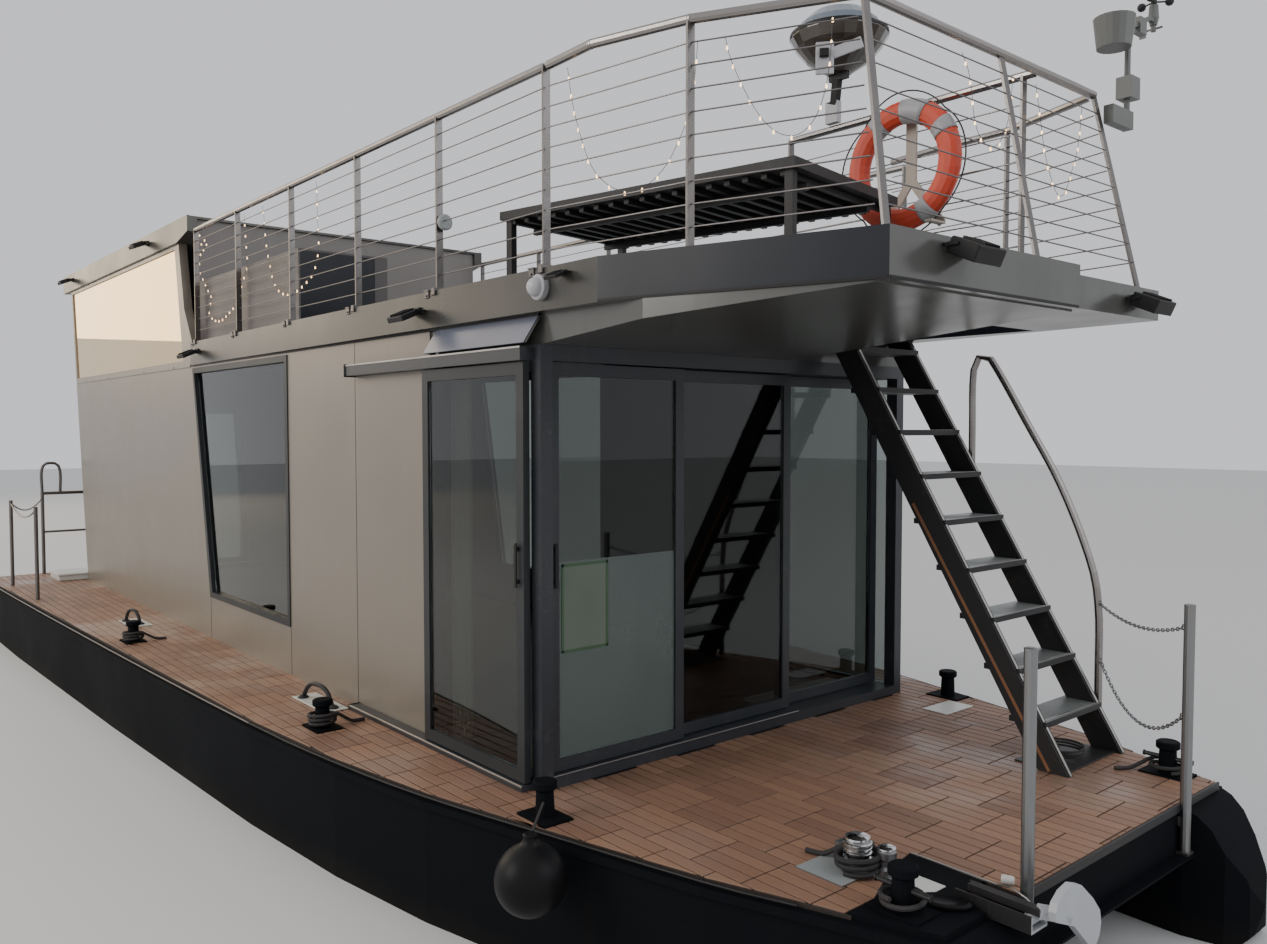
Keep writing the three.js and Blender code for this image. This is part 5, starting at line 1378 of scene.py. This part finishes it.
class MakeForedeck(bpy.types.Operator):
    """Windlass caps, plate edges, bollard pins, fairlead, bow light, rim, post caps and the chains"""

    bl_idname = "houseboat.foredeck"
    bl_label = "Foredeck"

    def execute(self, context):
        cap = [(0, 0.0005), (0.046, 0.0005), (0.050, 0.005), (0.049, 0.011), (0.034, 0.019), (0.014, 0.023),
               (0, 0.023)]
        caps = [turned(cap, 28, Matrix.Translation((*DRUM_AT, 1.200)))]
        caps.append(place(turned(cap, 24), Matrix.Translation((*WHEEL_AT, 1.170)) @ Matrix.Scale(0.72, 4)))
        for z in (1.128, 1.146, 1.164, 1.182):
            ridge = [(0.050, z), (0.0565, z + 0.004), (0.0565, z + 0.009), (0.050, z + 0.013)]
            caps.append(turned(ridge, 28, Matrix.Translation((*DRUM_AT, 0))))
        settle(joined(caps), "windlass_caps", "chrome")
        edges = [block((5.635, -0.693, ON_DECK), (6.03, -0.685, 1.0785), 0.001),
                 swept([(6.03, -0.700, 1.082), (6.09, -0.730, 1.104), (6.128, -0.750, 1.109),
                        (6.17, -0.755, 1.098), (6.205, -0.757, 1.075), (6.222, -0.757, 1.050)], 0.004, 8)]
        settle(joined(edges), "plate_edges", "edge")
        y, z = -1.12, 1.150
        pins = [swept([(5.785, y, z), (6.015, y, z)], 0.011, 10)]
        pins += [turned([(0, 0), (0.014, 0), (0.014, 0.006), (0, 0.008)], 12, at(x, y, z, turn_y=side))
                 for x, side in ((6.012, 90), (5.788, -90))]
        settle(mirrored_copy(joined(pins)), "bollard_pins", "black")
        oval = turned([(0, 0), (0.088, 0), (0.100, 0.006), (0.100, 0.014), (0.086, 0.021), (0.070, 0.014),
                       (0, 0.012)], 32)
        flat = Matrix.Rotation(0.5, 4, "Z") @ Matrix.Scale(0.55, 4, (0, 1, 0))
        place(oval, Matrix.Translation((5.975, -0.975, 1.0715)) @ flat)
        settle(tidy_mesh(oval), "fairlead", "rubber")
        white = turned([(0, 0), (0.016, 0), (0.018, 0.004), (0.018, 0.040), (0.014, 0.046), (0, 0.047)], 16,
                       at(6.02, -0.66, 1.09, turn_z=20, turn_y=90))
        settle(white, "bow_light", "white")
        rim = block((6.1215, -0.66, 1.046), (6.133, 1.140, 1.084), 0.002)
        settle(rim, "bow_rim", "black")
        cap = [(0, 0.0005), (0.0255, 0.0005), (0.0255, 0.004), (0.016, 0.007), (0, 0.008)]
        spots = [Matrix.Translation((6.147, y, 1.995)) for y in (-0.705, 0.705)]
        settle(copies(turned(cap, 24), spots), "post_caps", "galvanised")
        self.chains()
        return {"FINISHED"}

    def chains(self):
        """The port bow post with its two link chains to the stair's handrail, in place of the plain node."""
        post = node_copy("bow_post_port")
        edit(post)
        pick(post, lambda f: any(v.co.x < 6.1205 for v in f.verts))
        bpy.ops.mesh.delete(type="FACE")
        bpy.ops.mesh.select_all(action="SELECT")
        bpy.ops.mesh.fill_holes(sides=0)
        leave_edit()
        settle(post, "bow_post_chained", "galvanised")
        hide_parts("bow_post_port")
        link = self.link(0.0125, 0.0075, 0.0028)
        links = []
        for start, end, sag in CHAINS:
            line = []
            for i in range(CHAIN_STEPS + 1):
                share = i / CHAIN_STEPS
                drop = Vector((0, 0, 4 * sag * share * (1 - share)))
                line.append(Vector(start).lerp(Vector(end), share) - drop)
            links += self.along(line, CHAIN_PITCH)
        settle(copies(link, links), "bow_chains", "galvanised")
        eyes = [place(self.link(0.012, 0.012, 0.003), at(*spot, turn_z=-43)) for spot in CHAIN_EYES]
        settle(joined(eyes), "chain_eyes", "galvanised")

    def link(self, half_long, half_wide, radius):
        """One chain link along X in the upright plane."""
        points = []
        for i in range(12):
            angle = 2 * math.pi * i / 12
            points.append((half_long * math.cos(angle) + math.copysign(0.003, math.cos(angle)), 0,
                           half_wide * math.sin(angle)))
        return swept(points, radius, 6, closed=True)

    def along(self, line, pitch):
        """Places for links at even steps, each turned a quarter from the last."""
        places, gone, turn = [], pitch / 2, 0
        for a, b in zip(line, line[1:]):
            step, ahead = (b - a).length, (b - a).normalized()
            while gone < step:
                side = Vector((0, 0, 1)).cross(ahead).normalized()
                basis = Matrix((ahead, side, ahead.cross(side))).transposed().to_4x4()
                rolled = basis @ Matrix.Rotation(turn * math.pi / 2, 4, "X")
                places.append(Matrix.Translation(a + ahead * gone) @ rolled)
                gone += pitch
                turn += 1
            gone -= step
        return places


# The curtain: its aft foot, the width and height that it takes up, and the number and depth of its folds
CURTAIN_AT, CURTAIN_SIZE, CURTAIN_FOLDS, CURTAIN_DEPTH = (3.125, -1.335, 1.125), (0.21, 1.94), 5.5, 0.017


class MakeCabin(bpy.types.Operator):
    """Floor, gathered curtain, film and sheet on a front door, door grips and the sill strip"""

    bl_idname = "houseboat.cabin"
    bl_label = "Cabin"

    def execute(self, context):
        self.curtain()
        floor = block((-4.78, -1.352, 1.0712), (3.88, 1.352, 1.078), 0.001)
        settle(floor, "cabin_floor", "floor_cabin")
        film = block((4.0424, -1.2905, 1.1915), (4.0430, -0.531, 2.150), 0)
        settle(film, "door_film", "film", body="front_door_1")
        sheet = block((4.0434, -1.262, 1.715), (4.0440, -0.992, 2.128), 0)
        settle(sheet, "door_notice", "film_sheet", body="front_door_1")
        bars = [block((4.0442, y0, z0), (4.0456, y1, z1), 0.0004) for y0, y1, z0, z1 in (
            (-1.272, -1.258, 1.705, 2.138), (-0.996, -0.982, 1.705, 2.138), (-1.272, -0.982, 1.703, 1.717),
            (-1.272, -0.982, 2.124, 2.138))]
        settle(joined(bars), "notice_frame", "film_frame", body="front_door_1")
        self.grip("grip_front_1", at(4.0555, -1.322, 2.03), "front_door_1")
        self.grip("grip_front_2", at(4.0055, -0.480, 2.03), "front_door_2")
        self.grip("grip_side", at(3.990, -1.4845, 2.04, turn_z=-90), "side_door")
        settle(block((3.60, 0.46, 1.0785), (3.885, 1.30, 1.100), 0.003), "sill_strip", "white")
        return {"FINISHED"}

    def grip(self, name, spot, body):
        """A flat bar handle on two feet; it stands off the stile along +X before it is placed."""
        bar = block((0.012, -0.010, 0.0), (0.022, 0.010, 0.215), 0.003, 2)
        feet = [block((0, -0.007, z), (0.014, 0.007, z + 0.02), 0.001) for z in (0.02, 0.175)]
        settle(place(joined([bar, *feet]), spot), name, "trim_dark", body=body)

    def curtain(self):
        """A length of cloth gathered in folds at the aft edge of the side pane."""
        width, height = CURTAIN_SIZE
        x, y, z = CURTAIN_AT
        turns = 2 * math.pi * CURTAIN_FOLDS
        deselect()
        bpy.ops.mesh.primitive_grid_add(x_subdivisions=48, y_subdivisions=14, size=1, location=(0, 0, 0))
        cloth = bpy.context.object
        for vertex in cloth.data.vertices:
            u, v = vertex.co.x + 0.5, vertex.co.y + 0.5
            depth = CURTAIN_DEPTH * (1 - 0.25 * v) * math.sin(u * turns + 0.5 * math.sin(v * 3))
            vertex.co = (x + width * u + 0.004 * math.sin(v * 7 + u * 9), y + depth, z + height * v)
        settle(smooth(cloth, 80), "side_curtain", "curtain")


ROOF_SEAMS_X = (-4.85, -3.9, -2.95, -2.0)


class MakeStern(bpy.types.Operator):
    """Roof seams, the lines and handle of the outboard's cowl, and the seams of the stern beam"""

    bl_idname = "houseboat.stern"
    bl_label = "Stern and roof"

    def execute(self, context):
        seams = [block((x - 0.012, -1.43, ROOF_TOP + 0.0004), (x + 0.012, 1.43, ROOF_TOP + 0.008), 0.002)
                 for x in ROOF_SEAMS_X]
        seams += [block((-5.745, y - 0.01, ROOF_TOP + 0.0004), (-1.035, y + 0.01, ROOF_TOP + 0.005), 0.002)
                  for y in (-1.432, 1.432)]
        settle(joined(seams), "roof_seams", "fascia")
        cowl = [block((-6.335, -0.1515, z), (-6.03, 0.1515, z + 0.008), 0.002) for z in (1.17, 1.40)]
        cowl.append(block((-6.30, -0.1520, 1.25), (-6.10, 0.1520, 1.31), 0.004))
        settle(joined(cowl), "cowl_lines", "trim_dark", body="motor")
        handle = swept([(-6.02, 0.07, 1.30), (-5.985, 0.075, 1.32), (-5.975, 0.03, 1.325),
                        (-5.975, -0.03, 1.325), (-5.985, -0.075, 1.32), (-6.02, -0.07, 1.30)], 0.010, 8)
        settle(handle, "cowl_handle", "rubber", body="motor")
        lines = [block((-5.8565, y - 0.004, 0.90), (-5.8505, y + 0.004, 1.04), 0) for y in (-1.1, 1.1)]
        settle(joined(lines), "stern_seams", "trim_dark")
        return {"FINISHED"}


class HouseboatPanel(bpy.types.Panel):
    """Lists the sizes and colours that can be changed, and the steps"""

    bl_idname = "VIEW3D_PT_houseboat"
    bl_label = "Houseboat"
    bl_space_type = "VIEW_3D"
    bl_region_type = "UI"
    bl_category = "Houseboat"

    def draw(self, context):
        for group in (context.scene.houseboat_sizes, context.scene.houseboat_colours):
            box = self.layout.box()
            for key in group.__annotations__:
                box.prop(group, key)
        for step in STEPS:
            self.layout.operator(step.bl_idname)


STEPS = (MakeStage, FinishNodes, MakeLightStrings, MakeTerraceGear, MakeMooringGear, MakeCabin, MakeDeckTiles,
         MakeWallTrim, MakeOutsideLamps, MakeRailingFeet, MakeStairTrim, MakeForedeck, MakeStern)
CLASSES = (HouseboatSizes, HouseboatColours, *STEPS, HouseboatPanel)


def register():
    for cls in CLASSES:
        bpy.utils.register_class(cls)
    bpy.types.Scene.houseboat_sizes = bpy.props.PointerProperty(type=HouseboatSizes)
    bpy.types.Scene.houseboat_colours = bpy.props.PointerProperty(type=HouseboatColours)


def unregister():
    del bpy.types.Scene.houseboat_colours
    del bpy.types.Scene.houseboat_sizes
    for cls in reversed(CLASSES):
        bpy.utils.unregister_class(cls)


def main():
    register()
    for step in STEPS:
        family, name = step.bl_idname.split(".")
        getattr(getattr(bpy.ops, family), name)()


if __name__ == "__main__":
    main()
